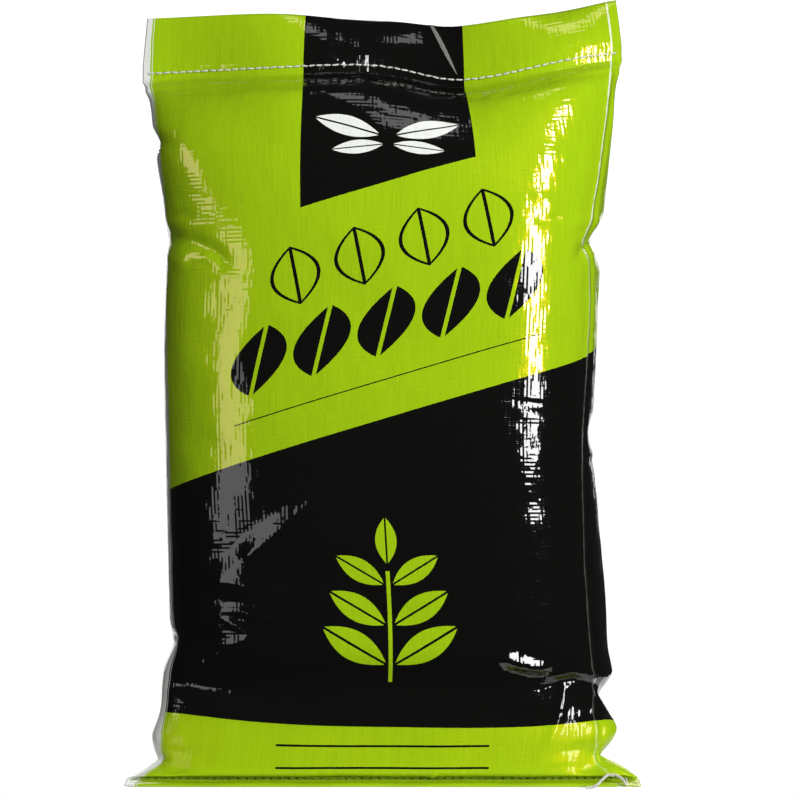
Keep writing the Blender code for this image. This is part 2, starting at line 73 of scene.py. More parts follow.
def add_node(tree: bpy.types.NodeTree, kind: str, takes: dict | tuple = (), **settings: object) -> bpy.types.Node:
    """Adds one node with its settings and links.

    Args:
        tree: The node tree it goes into.
        kind: The node's type, without the ShaderNode at its start.
        takes: What its inputs are linked to or hold, in order or by an input's name or number.
        settings: The node's own properties.

    Returns:
        The new node.
    """
    node = tree.nodes.new("ShaderNode" + kind)
    for name, value in settings.items():
        setattr(node, name, value)
    for socket, value in takes.items() if isinstance(takes, dict) else enumerate(takes):
        if isinstance(value, bpy.types.Node):
            value = value.outputs[0]
        if isinstance(value, bpy.types.NodeSocket):
            tree.links.new(value, node.inputs[socket])
        else:
            node.inputs[socket].default_value = value
    return node


def new_material(name: str) -> tuple[bpy.types.Material, bpy.types.NodeTree]:
    """Starts a material with an empty node tree.

    Args:
        name: The material's name.

    Returns:
        The material and its tree.
    """
    material = bpy.data.materials.new(name)
    material.use_nodes = True
    material.node_tree.nodes.clear()
    return material, material.node_tree


def ease(share: np.ndarray) -> np.ndarray:
    """A smooth step from 0 to 1."""
    share = np.clip(share, 0.0, 1.0)
    return share * share * (3 - 2 * share)


def through(stations: list, at: np.ndarray) -> np.ndarray:
    """A smooth curve through stations, level past its ends, that never swings beyond them.

    Args:
        stations: Pairs of place and value, in order of place.
        at: The places to read the curve at.

    Returns:
        The curve's value at each place.
    """
    place, value = np.array(stations, float).T
    rise = np.diff(value) / np.diff(place)
    before, after = rise[:-1], rise[1:]
    same_way = before * after > 0
    shared = 2 * before * after / np.where(same_way, before + after, 1.0)
    slope = np.concatenate([rise[:1], np.where(same_way, shared, 0.0), rise[-1:]])
    at = np.clip(at, place[0], place[-1])
    i = np.clip(np.searchsorted(place, at, side="right") - 1, 0, len(place) - 2)
    step = place[i + 1] - place[i]
    s = (at - place[i]) / step
    return (
        value[i] * (1 + 2 * s) * (1 - s) ** 2
        + value[i + 1] * s * s * (3 - 2 * s)
        + step * slope[i] * s * (1 - s) ** 2
        + step * slope[i + 1] * s * s * (s - 1)
    )


def grain(places: np.ndarray, size: float, seed: float) -> np.ndarray:
    """Smooth irregular unevenness over the flat sheet.

    Args:
        places: Girth positions and runs, with 2 in the last axis.
        size: The width of its bumps.
        seed: Which unevenness it is.

    Returns:
        Values between about -1 and 1.
    """
    flat = places.reshape(-1, 2) / size
    values = [noise.noise((a, b, seed)) for a, b in flat.tolist()]
    return np.array(values).reshape(places.shape[:-1])


def add_piece(name: str, points: np.ndarray, faces: list, material: bpy.types.Material, slot: str) -> bpy.types.Object:
    """Adds a smooth mesh to the scene as a piece of the sack.

    Args:
        name: The piece's name.
        points: Its corners.
        faces: The corner numbers of each face.
        material: What it is made of.
        slot: Not used.

    Returns:
        The new object, riding on the body.
    """
    mesh = bpy.data.meshes.new(name)
    mesh.from_pydata(points.tolist(), [], faces)
    mesh.shade_smooth()
    mesh.materials.append(material)
    piece = bpy.data.objects.new(name, mesh)
    bpy.context.scene.collection.objects.link(piece)
    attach(piece, ROOT)
    LOG.info("%s: %d faces", name, len(faces))
    return piece


@dataclass
class SackForm:
    """The filled form: carries a girth position and a run to a point in space."""

    flat_width: float = 0.512
    hem_depth: float = 0.026
    flap_height: float = 0.0545
    hem_thickness: float = 0.0028
    hem_stations: tuple = ((0.0, 0.7), (0.2, 1.0), (0.8, 1.0))
    crease_rise: tuple = (1.3, 0.6)
    crease_depth: float = 0.02
    flap_thickness: float = 0.0022
    body_height: float = 0.7125
    filled_depth: float = 0.175
    base_depth: float = 0.116
    front_share: float = 0.52
    hem_forward: float = 0.062
    bulge_over_hem: float = 0.014
    seam_band: float = 0.007
    fold_lag: float = 0.009
    flat_below: float = 0.050
    turn: float = 0.010
    fold_ridge: float = 0.0018
    fold_ridge_reach: float = 0.007
    seam_rise: float = 0.022
    seam_dip: float = 0.0205
    seam_dip_at: float = 0.085
    seam_dip_reaches: tuple = (0.065, 0.100)
    seam_take_up: float = 0.050
    sway_from: float = 0.60
    flap_take_up: float = 0.020
    flap_wave: float = 0.012
    wave_length: float = 0.270
    wave_start: float = 0.6
    lean_bend: float = 1.5
    filled_powers: tuple = (2.7, 4.2, 2.0)
    flat_powers: tuple = (14.0, 14.0, 2.6)
    fullness: tuple = (
        (0.19, 0.88), (0.29, 0.92), (0.49, 1.00), (0.63, 0.97), (0.74, 0.98),
        (0.80, 0.95), (0.86, 0.85), (0.92, 0.68), (0.965, 0.445),
    )
    base_shape: tuple = (
        (1.00, 0.07, 0.02, 0.04, 0.12, -0.02),
        (1.00, 0.20, 0.12, 0.17, 0.56, -0.05),
        (0.80, 0.42, 0.28, 0.41, 0.90, -0.03),
        (0.45, 0.68, 0.45, 0.66, 1.02, 0.30),
    )
    sway: tuple = ((0.0, 0.0), (0.16, 0.005), (0.50, -0.0045), (0.80, 0.0005), (1.0, -0.001))
    leans: tuple = ((-0.020, 0.032, 0.100), (0.200, 0.026, 0.075))
    # Each pinch: side, height, depth, half height and reach over the front and back
    pinch_list: tuple = (
        (-1, 0.636, 0.007, 0.020, 0.040), (-1, 0.536, 0.003, 0.026, 0.075),
        (-1, 0.128, 0.005, 0.028, 0.080), (-1, 0.0185, 0.020, 0.022, 0.070),
        (1, 0.536, 0.013, 0.030, 0.060), (1, 0.344, 0.011, 0.022, 0.035),
        (1, 0.076, 0.019, 0.026, 0.070), (1, 0.0230, 0.027, 0.021, 0.080),
    )
    # A pinch's notch, and the valley that runs on from it: shares of its half height, reach and depth
    notch_power: float = 1.4
    notch_reach: float = 0.4
    valley_height: float = 0.45
    valley_from: float = 0.45
    valley_reach: float = 0.5
    valley_push: float = 0.55
    samples: int = 721
    table_rows: int = 700

    def __post_init__(self) -> None:
        """Works out the tables along the run."""
        self.girth = 2 * self.flat_width
        self.middle_forward = (
            self.hem_forward + self.hem_depth - (1 - self.front_share) * self.filled_depth
        ) / 2
        rows = np.array(self.side_stations())
        at = np.linspace(0, len(rows) - 1, self.table_rows)
        lines = np.stack([through(list(enumerate(column)), at) for column in rows.T], axis=1)
        self.front, self.fold, self.back = lines[:, 0:2], lines[:, 2:4], lines[:, 4:6]
        steps = np.linalg.norm(np.diff(self.front, axis=0), axis=1)
        self.run = np.concatenate([[0], np.cumsum(steps)])
        self.top_run = float(self.run[-1])
        self.seam_run = float(np.interp(len(rows) - 3, at, self.run))
        depth = np.linalg.norm(self.front - self.back, axis=1)
        self.half_depth = depth / 2
        flat = 1 - ease(depth / self.flat_below)
        self.powers = np.array(self.filled_powers) + flat[:, None] * np.subtract(self.flat_powers, self.filled_powers)
        self.half_width = self.solve_half_width()
        self.across_shift = through(self.sway, self.fold[:, 1] / self.body_height)

    def side_stations(self) -> list:
        """The front, side and back lines in side view, from the hem's edge to the top edge.

        Returns:
            Rows of front y and z, fold y and z, back y and z.
        """
        edge = -self.hem_forward - self.hem_depth
        crease = -self.hem_forward
        rounded = self.fullness[0][0] * self.body_height
        thick = self.hem_thickness
        rows = []
        for share, thickness in self.hem_stations:
            y = edge + share * self.hem_depth
            here = thick * thickness
            rows.append((y, here, y, here / 2, y, 0.0))
        front_z, fold_z = (rise * thick for rise in self.crease_rise)
        rows.append((crease, front_z, crease, fold_z, crease + self.crease_depth * self.base_depth, 0.0))
        for bulge, front_z, fold_y, fold_z, back_y, back_z in self.base_shape:
            row = (crease - bulge * self.bulge_over_hem, front_z * rounded, crease + fold_y * self.base_depth)
            rows.append(row + (fold_z * rounded, crease + back_y * self.base_depth, back_z * rounded))
        for height, depth in self.fullness:
            z = height * self.body_height
            front = -self.front_share * depth * self.filled_depth
            back = (1 - self.front_share) * depth * self.filled_depth
            rows.append((front, z, (front + back) / 2, z - self.fold_lag * depth, back, z))
        half = self.flap_thickness / 2
        seam = self.body_height
        for z in (seam - self.seam_band, seam, seam + self.seam_band, seam + self.flap_height):
            rows.append((-half, z, 0.0, z, half, z))
        return rows

    def section(self, half_width: np.ndarray, half_depth: np.ndarray, powers: np.ndarray) -> tuple:
        """Closed sections from their left ends round the front.

        Args:
            half_width: Half of each section's width.
            half_depth: Half of its depth.
            powers: How square it is: left, right and in depth.

        Returns:
            The samples' places across and forward, and their lengths round the section.
        """
        turn = np.linspace(0, 2 * math.pi, self.samples)
        across, forward = -np.cos(turn), np.sin(turn)
        power = np.where(across < 0, powers[..., 0:1], powers[..., 1:2])
        across = half_width[..., None] * np.sign(across) * np.abs(across) ** (2 / power)
        forward = half_depth[..., None] * np.sign(forward) * np.abs(forward) ** (2 / powers[..., 2:3])
        steps = np.hypot(np.diff(across, axis=-1), np.diff(forward, axis=-1))
        lengths = np.concatenate([np.zeros(steps.shape[:-1] + (1,)), np.cumsum(steps, axis=-1)], axis=-1)
        return across, forward, lengths

    def solve_half_width(self) -> np.ndarray:
        """The half widths that keep each section's girth at the sheet's own."""
        low = np.full(len(self.half_depth), 0.25 * self.flat_width)
        high = np.full(len(self.half_depth), 0.5 * self.flat_width)
        for _ in range(30):
            half = (low + high) / 2
            girth = self.section(half, self.half_depth, self.powers)[2][:, -1]
            low, high = np.where(girth < self.girth, half, low), np.where(girth < self.girth, high, half)
        return (low + high) / 2

    def at_run(self, values: np.ndarray, run: np.ndarray) -> np.ndarray:
        """A table's values at each run."""
        if values.ndim == 1:
            return np.interp(run, self.run, values)
        return np.stack([np.interp(run, self.run, column) for column in values.T], axis=-1)

    def flatness(self, run: np.ndarray) -> np.ndarray:
        """How nearly the two films lie together at each run, from 0 to 1."""
        return 1 - ease(2 * self.at_run(self.half_depth, run) / self.flat_below)

    def place(self, girth: np.ndarray, run: np.ndarray) -> np.ndarray:
        """Carries a grid of the flat sheet to the filled form.

        Args:
            girth: The columns' girth positions.
            run: The rows' runs.

        Returns:
            The points, by row and column.
        """
        half_depth = self.at_run(self.half_depth, run)
        across, forward, lengths = self.section(
            self.at_run(self.half_width, run), half_depth, self.at_run(self.powers, run)
        )
        lengths *= (self.girth / lengths[:, -1])[:, None]
        x = np.stack([np.interp(girth, row, values) for row, values in zip(lengths, across)])
        out = np.stack([np.interp(girth, row, values) for row, values in zip(lengths, forward)])
        g, r = np.meshgrid(girth, run)
        half_depth = half_depth[:, None]
        body = ease(half_depth / self.flat_below)
        side = np.sign(x)
        fold = np.where(side > 0, self.flat_width - self.turn, self.girth - self.turn)
        proud = self.fold_ridge * np.exp(-np.abs(g - fold) / self.fold_ridge_reach) * body * math.sqrt(0.5)
        x, out = x + side * proud, out + np.sign(out) * proud
        x, out = self.pinches(g, r, x, out, body)
        share = (half_depth - out) / (2 * half_depth)
        front, fold, back = (self.at_run(line, run)[:, None, :] for line in (self.front, self.fold, self.back))
        pull = 2 * fold - (front + back) / 2
        s = share[..., None]
        y, z = np.moveaxis((1 - s) ** 2 * front + 2 * s * (1 - s) * pull + s**2 * back, -1, 0)
        x = x + self.at_run(self.across_shift, run)[:, None]
        x, y, z = self.sway_of_top(x, y + self.middle_forward, z, r)
        return np.stack([x, y, np.maximum(z, 0.0)], axis=-1)

    def pinches(self, g: np.ndarray, r: np.ndarray, x: np.ndarray, out: np.ndarray, body: np.ndarray) -> tuple:
        """Draws the sides in at each pinch, with a valley that runs on over the front and back.

        Args:
            g: Girth positions.
            r: Runs.
            x: Places across.
            out: Places forward of the section's middle.
            body: How full the sack is there.

        Returns:
            The new places across and forward.
        """
        for side, height, depth, half_height, reach in self.pinch_list:
            centre = float(np.interp(height, self.fold[:, 1], self.run))
            away = np.abs(g - (0.0 if side < 0 else self.flat_width))
            away = np.minimum(away, self.girth - away)
            notch = np.clip(1 - np.abs(r - centre) / half_height, 0, 1) ** self.notch_power
            x = x - side * depth * notch * np.exp(-((away / (self.notch_reach * reach)) ** 2))
            valley = np.exp(-(((r - centre) / (self.valley_height * half_height)) ** 2))
            spread = np.exp(-(((away - self.valley_from * reach) / (self.valley_reach * reach)) ** 2))
            push = self.valley_push * depth * valley * spread * body
            out = out - np.sign(out) * np.minimum(push, 0.5 * np.abs(out))
        return x, out

    def sway_of_top(self, x: np.ndarray, y: np.ndarray, z: np.ndarray, r: np.ndarray) -> tuple:
        """Raises, dips, gathers, waves and leans the sewn top, more and more on the way up.

        Args:
            x: Places across.
            y: Places back.
            z: Heights.
            r: Runs.

        Returns:
            The new x, y and z.
        """
        free = ease((z - self.sway_from) / (self.body_height - self.sway_from))
        above = np.clip((r - self.seam_run - self.seam_band) / (self.flap_height - self.seam_band), 0, 1)
        dip_reach = np.where(x < self.seam_dip_at, *self.seam_dip_reaches)
        dip = self.seam_dip * np.exp(-(((x - self.seam_dip_at) / dip_reach) ** 2))
        turn = 2 * math.pi / self.wave_length
        wave = self.flap_wave * free**2
        y = y + wave * np.sin(turn * x + self.wave_start)
        z = z + free * (self.seam_rise * x / self.flat_width - dip)
        for at, lean, reach in self.leans:
            back = lean * above**self.lean_bend * np.exp(-(((x - at) / reach) ** 2))
            y, z = y + back, z - back**2 / (2 * self.flap_height)
        shorter = (1 - (wave * turn) ** 2 / 4) * (1 - self.seam_take_up * free - self.flap_take_up * above)
        return x * shorter, y, z


class Profile(Enum):
    """The form of a crease across its line."""

    VALLEY = "valley"
    RIDGE = "ridge"
    STEP = "step"


@dataclass(frozen=True)
class Crease:
    """A crease in the film: its form, its height and width, and its line over the flat sheet, in millimetres.

    It runs out over a share of its length at each end, where a share of its height is left.
    """

    profile: Profile
    height: float
    width: float
    line: tuple
    run_out: float = 0.3
    left_at_end: float = 0.25
    step_share: float = 0.25
    ridge_power: float = 1.15
    valley_power: float = 1.3

    def rise(self, g: np.ndarray, r: np.ndarray) -> np.ndarray:
        """How far the crease lifts the film.

        Args:
            g: Girth positions.
            r: Runs.

        Returns:
            The lift at each place, below 0 in a valley.
        """
        points = np.array(self.line, float) * MM
        lengths = np.linalg.norm(np.diff(points, axis=0), axis=1)
        total = lengths.sum()
        nearest = np.full(g.shape, 1.0)
        signed = np.zeros(g.shape)
        along = np.zeros(g.shape)
        before = 0.0
        for start, end, length in zip(points[:-1], points[1:], lengths):
            way = (end - start) / length
            a, b = g - start[0], r - start[1]
            t = np.clip(a * way[0] + b * way[1], 0, length)
            off = np.hypot(a - t * way[0], b - t * way[1])
            closer = off < nearest
            side = np.sign(way[0] * b - way[1] * a)
            nearest = np.where(closer, off, nearest)
            signed = np.where(closer, side * off, signed)
            along = np.where(closer, before + t, along)
            before += length
        taper = ease(np.minimum(along, total - along) / (self.run_out * total) + self.left_at_end)
        width = self.width * MM
        flank = np.clip(1 - nearest / width, 0, 1)
        if self.profile is Profile.STEP:
            shape = 0.5 * np.tanh(signed / (self.step_share * width)) * flank
        elif self.profile is Profile.RIDGE:
            shape = flank**self.ridge_power
        else:
            shape = -(flank**self.valley_power)
        return self.height * MM * shape * taper


CREASES = (
    # The pinch high on the left: a sharp fold that runs over the front, a facet under it and soft pulls
    Crease(Profile.VALLEY, 3.2, 13.0, ((0, 588), (30, 584), (62, 578), (84, 568), (104, 554))),
    Crease(Profile.RIDGE, 1.5, 7.0, ((70, 566), (80, 562), (92, 556))),
    Crease(Profile.RIDGE, 1.6, 12.0, ((8, 566), (34, 561), (60, 557))),
    Crease(Profile.VALLEY, 0.9, 8.0, ((18, 604), (44, 606), (66, 602))),
    Crease(Profile.STEP, 0.9, 10.0, ((84, 541), (110, 537), (141, 537))),
    # The pinch low on the left: two thin ridges that meet in a point, over a dark hollow
    Crease(Profile.VALLEY, 2.6, 12.0, ((0, 178), (34, 182), (62, 186), (84, 184))),
    Crease(Profile.RIDGE, 1.7, 5.5, ((72, 208), (86, 211), (107, 211), (129, 204), (172, 181))),
    Crease(Profile.RIDGE, 1.4, 5.0, ((74, 208), (92, 202), (110, 192), (116, 186), (108, 180), (86, 175))),
    Crease(Profile.RIDGE, 2.4, 22.0, ((66, 242), (108, 238), (160, 225))),
    # A long slanting pull from the low left up to the middle
    Crease(Profile.RIDGE, 1.3, 16.0, ((80, 238), (104, 254), (128, 274))),
    Crease(Profile.RIDGE, 4.8, 19.0, ((112, 260), (142, 284), (170, 305), (204, 334))),
    # The hollow over the bulge of the base on the left
    Crease(Profile.VALLEY, 3.4, 15.0, ((18, 124), (60, 119), (100, 116), (150, 113), (205, 112))),
    # The pinch high on the right
    Crease(Profile.VALLEY, 4.2, 13.0, ((512, 586), (482, 581), (460, 572), (446, 560))),
    Crease(Profile.RIDGE, 1.4, 10.0, ((496, 600), (468, 598), (440, 596))),
    Crease(Profile.VALLEY, 1.5, 7.0, ((430, 600), (414, 596), (400, 597))),
    Crease(Profile.RIDGE, 0.9, 8.0, ((424, 612), (408, 618), (398, 626))),
    # A crossing pull under the dark field's edge on the right
    Crease(Profile.VALLEY, 1.1, 7.0, ((440, 412), (410, 416), (372, 421))),
    Crease(Profile.RIDGE, 0.8, 9.0, ((436, 402), (408, 406), (380, 408))),
    # The pinch low on the right
    Crease(Profile.VALLEY, 2.4, 8.0, ((512, 108), (494, 113), (466, 122), (438, 131), (411, 125), (385, 122))),
    Crease(Profile.RIDGE, 1.3, 6.0, ((500, 124), (470, 136), (440, 143), (405, 137))),
    Crease(Profile.RIDGE, 1.2, 6.0, ((505, 97), (470, 108), (440, 118))),
    Crease(Profile.VALLEY, 1.6, 9.0, ((512, 358), (494, 360), (474, 366))),
    # The bulges of the base on the right: one short bright dent, and the hollow over the hem
    Crease(Profile.RIDGE, 5.0, 12.0, ((360, 168), (378, 158), (396, 152), (416, 148))),
    Crease(Profile.RIDGE, 1.8, 9.0, ((431, 126), (429, 108), (427, 95), (421, 81), (414, 64))),
    Crease(Profile.VALLEY, 3.4, 14.0, ((512, 92), (470, 93), (440, 95), (400, 97), (340, 99))),
    # The ears, where the base folds in above the hem
    Crease(Profile.VALLEY, 4.0, 9.0, ((0, 58), (20, 52), (42, 46), (63, 45))),
    Crease(Profile.RIDGE, 1.6, 6.0, ((22, 60), (48, 55), (76, 51))),
    Crease(Profile.VALLEY, 4.6, 9.0, ((512, 62), (492, 57), (470, 50), (444, 44))),
    Crease(Profile.RIDGE, 1.6, 7.0, ((496, 70), (468, 64), (440, 56), (412, 50))),
    Crease(Profile.STEP, 2.0, 6.0, ((470, 57), (492, 50), (503, 30))),
    # A small pleat that was caught in the hem
    Crease(Profile.RIDGE, 1.3, 4.5, ((296, 24), (303, 34), (310, 46))),
    # The flap's sharp slanting fold and the dents of the tab
    Crease(Profile.RIDGE, 1.3, 10.0, ((231, 806), (231, 786), (232, 764))),
    Crease(Profile.RIDGE, 1.4, 5.0, ((307, 845), (322, 818), (336, 789))),
    Crease(Profile.RIDGE, 0.7, 8.0, ((224, 771), (250, 742), (283, 735))),
    Crease(Profile.VALLEY, 0.6, 10.0, ((236, 712), (262, 700), (292, 697))),
    Crease(Profile.STEP, 0.7, 7.0, ((292, 742), (289, 720), (287, 690))),
    Crease(Profile.RIDGE, 1.8, 6.0, ((364, 742), (373, 741), (382, 742))),
)

# The right pressed fold, which has turned a little to the front: run and girth position
FOLD_LINE = (
    (0, 500), (30, 490), (57, 470), (105, 466), (146, 462), (250, 459), (465, 470), (520, 471), (558, 467),
    (580, 455), (603, 467), (648, 475), (728, 493), (787, 501), (840, 501),
)

# Where the print begins beside the left fold, which has turned to the front: run and girth position
LEFT_EDGE = (
    (0, 11), (24, 13.6), (46, 15.5), (58, 18), (70, 23), (86, 21.5), (113, 21.5), (141, 24), (175, 23.3), (184, 23),
    (209, 18), (259, 19.5), (349, 23.5), (449, 23.5), (521, 16.5), (578, 11), (628, 15.8), (660, 17.8), (713, 13.2),
    (768, 8.4), (796, 8), (817, 6.5), (840, 6.5),
)


@dataclass(frozen=True)
class Leaf:
    """A printed leaf or lens: its middle on the face, its lean in degrees, and half its length and width."""

    middle: tuple
    lean: float
    half_length: float
    half_width: float


@dataclass(frozen=True)
class LeafRow:
    """A slanted row of printed leaves: its start, run, pitch and count, and the sizes of its leaves."""

    start: float
    run: float
    pitch: float
    count: int
    height: float
    share: float
    outline: float
    vein: float
    shear: float


@dataclass(frozen=True)
class Rule:
    """A thin printed line: whether it is slanted, its run, its middle, and half its length and thickness."""

    slanted: bool
    run: float
    middle: float
    half_length: float
    half_thickness: float


@dataclass(frozen=True)
class FlatSheet:
    """The flat sheet as its material reads it: the node tree, and wires that say where each place lies."""

    tree: bpy.types.NodeTree
    form: SackForm
    place: Wire
    girth: Wire
    run: Wire
    on_back: Wire
    across: Wire
    off_middle: Wire
    slanted: Wire


@dataclass(frozen=True)
class PrintedWovenSack:
    """Woven polypropylene under a clear gloss film that was printed on its inner face.

    The weave of flat tapes shows through as a fine cross pattern that breaks up the edges of reflections,
    the ink lies under the gloss, the right fold is rubbed pale with a painted highlight on it, and the flap's fold has
    a painted reflection.
    """

    lime: str = "#9ABF12"
    black: str = "#0D0E0C"
    white: str = "#DDE0DA"
    # The right fold is rubbed pale in an uneven thin line that is also a painted highlight along the fold, stronger
    # above this run and weaker on black
    rubbed_highlight: str = "#E9ECDC"
    highlight_above: float = 0.575
    rub_highlight_width: float = 0.0024
    rub_highlight_least: float = -0.0003
    rub_highlight_grain: float = 0.011111
    rub_highlight_on_black: tuple = (-0.65, 0.85)
    rub_highlight_above: tuple = (0.7, 0.3)
    # A pale line is painted on the flap's black along its sharp slanting fold: a painted reflection of the fold's
    # narrow facet
    fold_reflection: str = "#7A7B74"
    fold_reflection_line: Leaf = Leaf((0.3200, 0.8200), -62, 0.036, 0.0024)
    # A tape is 1.95 mm wide, and its tilt changes about every 24 mm
    tape: float = 0.00195
    tape_shades: tuple = (0.07, 0.965)
    weave_height: float = 0.000075
    tilt_length: float = 0.024
    tilt_apart: float = 5.37
    tilt_rise: float = 3.4
    over_under: float = 0.4
    # Crinkles of the film are about 26 mm across
    crinkle_height: float = 0.00028
    crinkle_grain: float = 0.026316
    # Polypropylene film
    ior: float = 1.49
    roughness: float = 0.15
    roughness_spread: float = 0.10
    roughness_grain: float = 0.041667
    coat_roughness: float = 0.035
    # The lowest band has stood on floors: it is scuffed, and what it mirrors is soft
    scuffed_below: float = 0.084
    scuff_fade: float = 0.010
    scuff: float = 0.26
    scuffed_coat: float = 0.2
    # Light that comes back off the ink and not off the gloss takes the ink's yellow
    ink_sheen: str = "#FF9E00"
    dark_sheen: str = "#1C1C1C"
    slant: float = 0.300
    band_slant: float = -0.012
    print_left: float = 0.006
    bare_line: float = 0.0021
    bare_line_half: float = 0.00035
    bleed: float = 0.018
    back_margin: float = 0.006
    tab_left: float = 0.173
    tab_width: float = 0.171
    tab_drop: float = 0.206
    tab_mark_shift: float = 0.003
    field_run: float = 0.4015
    band_run: float = 0.0895
    stem_half_width: float = 0.002
    stem_foot: float = 0.135
    stem_head: float = 0.2506
    sprig_height: float = 0.17
    sprig_lean: float = 32.0
    pair_shrink: float = 0.13
    pair_size: tuple = (0.037, 0.015)
    pair_foot: float = 0.12
    pair_pitch: float = 0.24
    tip_foot: float = 0.86
    tip_size: tuple = (0.0238, 0.0105)
    vein: float = 0.085
    tab_leaves: tuple = (Leaf((0.040, 0.6905), 17, 0.034, 0.0105), Leaf((0.030, 0.668), -6, 0.026, 0.0070))
    leaf_rows: tuple = (
        LeafRow(0.138, 0.5680, 0.0620, 4, 0.0300, 0.78, 0.15, 0.07, 0.10),
        LeafRow(0.104, 0.4960, 0.0620, 5, 0.0330, 0.88, 1.00, 0.08, -0.12),
    )
    rules: tuple = (
        Rule(True, 0.4395, 0.2605, 0.150, 0.0006),
        Rule(False, 0.0705, 0.252, 0.106, 0.0011),
        Rule(False, 0.0485, 0.254, 0.106, 0.0011),
    )

    def sprig_leaves(self) -> tuple:
        """The sprig's leaves for one half of the face, and its tip leaf."""
        found = []
        rise = math.radians(self.sprig_lean)
        for pair in range(3):
            size = 1 - self.pair_shrink * pair
            half_length, half_width = self.pair_size[0] * size, self.pair_size[1] * size
            foot = self.stem_foot + self.sprig_height * (self.pair_foot + self.pair_pitch * pair)
            middle = (2 * self.stem_half_width + half_length * math.cos(rise), foot + half_length * math.sin(rise))
            found.append(Leaf(middle, self.sprig_lean, half_length, half_width))
        tip = self.stem_foot + self.sprig_height * self.tip_foot
        found.append(Leaf((0.0, tip), 90, *self.tip_size))
        return tuple(found)

    def lay_out(self, tree: bpy.types.NodeTree, form: SackForm) -> FlatSheet:
        """Reads the sheet's flat map and works out where each place lies on its face.

        Args:
            tree: The material's tree.
            form: The sack's form, for its flat sizes.

        Returns:
            The flat sheet's places.
        """
        add = partial(add_node, tree)
        size = (form.girth, form.girth, 1.0)
        place = add("Mapping", {"Vector": add("UVMap", uv_map="flat"), "Scale": size})
        girth, run = add("SeparateXYZ", (place,)).outputs[0:2]
        width = form.flat_width
        on_back = add("Math", (girth, width + self.bleed + self.back_margin / 2), operation="GREATER_THAN")
        across = add("Math", (on_back, -width, girth), operation="MULTIPLY_ADD")
        off_middle = add("Math", (across, width / 2), operation="SUBTRACT")
        slanted = add("Math", (off_middle, -self.slant, run), operation="MULTIPLY_ADD")
        return FlatSheet(tree, form, place, girth, run, on_back, across, off_middle, slanted)

    def field_masks(self, sheet: FlatSheet) -> tuple[Wire, Wire]:
        """Where the sheet is left bare, and where it is printed black.

        Args:
            sheet: The flat sheet's places.

        Returns:
            The two masks.
        """
        add, form = partial(add_node, sheet.tree), sheet.form
        from_left = add("Attribute", attribute_name="from_left").outputs["Fac"]
        gap = form.flat_width + self.bleed + self.back_margin / 2
        bare = add("Math", (from_left, 0.0), operation="LESS_THAN")
        # A second thin line stays unprinted just inside the edge
        for more in (
            add("Math", (from_left, self.bare_line, self.bare_line_half), operation="COMPARE"),
            add("Math", (sheet.girth, form.girth - self.print_left), operation="GREATER_THAN"),
            add("Math", (sheet.girth, gap, self.back_margin / 2), operation="COMPARE"),
        ):
            bare = add("Math", (bare, more), operation="MAXIMUM")
        back_tab_shift = 2 * self.tab_left + self.tab_width - form.flat_width
        tab = add("Math", (sheet.on_back, back_tab_shift, sheet.across), operation="MULTIPLY_ADD")
        tab = add("Math", (tab, self.tab_left + self.tab_width / 2, self.tab_width / 2), operation="COMPARE")
        above_end = add("Math", (sheet.slanted, form.top_run - self.tab_drop), operation="GREATER_THAN")
        tab = add("Math", (tab, above_end), operation="MULTIPLY")
        above_band = add("Math", (sheet.off_middle, -self.band_slant, sheet.run), operation="MULTIPLY_ADD")
        above_band = add("Math", (above_band, self.band_run), operation="GREATER_THAN")
        field = add("Math", (sheet.slanted, self.field_run), operation="LESS_THAN")
        field = add("Math", (field, above_band), operation="MULTIPLY")
        return bare, add("Math", (tab, field), operation="MAXIMUM")

    def laid_over(self, tree: bpy.types.NodeTree, ground: str, layers: tuple) -> Wire:
        """A colour with others laid over it in turn.

        Args:
            tree: The material's tree.
            ground: The lowest colour.
            layers: Masks and the colours that they show.

        Returns:
            The colour at each place.
        """
        colour = linear(ground)
        for mask, over in layers:
            colour = add_node(tree, "Mix", {0: mask, 6: colour, 7: linear(over)}, data_type="RGBA").outputs[2]
        return colour

    def lens(self, tree: bpy.types.NodeTree, place: Wire, shape: Leaf) -> tuple[Wire, Wire]:
        """How far each place is from the middle of a pointed lens.

        Args:
            tree: The material's tree.
            place: The place on the face.
            shape: The lens.

        Returns:
            A measure that is 1 on the lens's edge, and the distance from its long axis, 1 at its widest.
        """
        add = partial(add_node, tree)
        turn, size = (0.0, 0.0, math.radians(shape.lean)), (shape.half_length, shape.half_width, 1.0)
        takes = {"Vector": place, "Location": (*shape.middle, 0.0), "Rotation": turn, "Scale": size}
        along, aside = add("SeparateXYZ", (add("Mapping", takes, vector_type="TEXTURE"),)).outputs[0:2]
        aside = add("Math", (aside,), operation="ABSOLUTE")
        return add("Math", (along, along, aside), operation="MULTIPLY_ADD"), aside

    def leaf_marks(self, sheet: FlatSheet, aside: Wire, leaves: tuple) -> Wire:
        """Where any of some leaves is printed, with a bare vein along each.

        Args:
            sheet: The flat sheet's places.
            aside: The distance from the line that the leaves are mirrored in.
            leaves: The leaves.

        Returns:
            The mask.
        """
        add = partial(add_node, sheet.tree)
        place = add("CombineXYZ", (aside, sheet.run))
        marks = 0.0
        for leaf in leaves:
            edge, off_vein = self.lens(sheet.tree, place, leaf)
            vein = add("Math", (off_vein, self.vein), operation="LESS_THAN")
            edge = add("Math", (edge, vein), operation="ADD")
            inside = add("Math", (edge, 1.0), operation="LESS_THAN")
            marks = add("Math", (marks, inside), operation="MAXIMUM")
        return marks

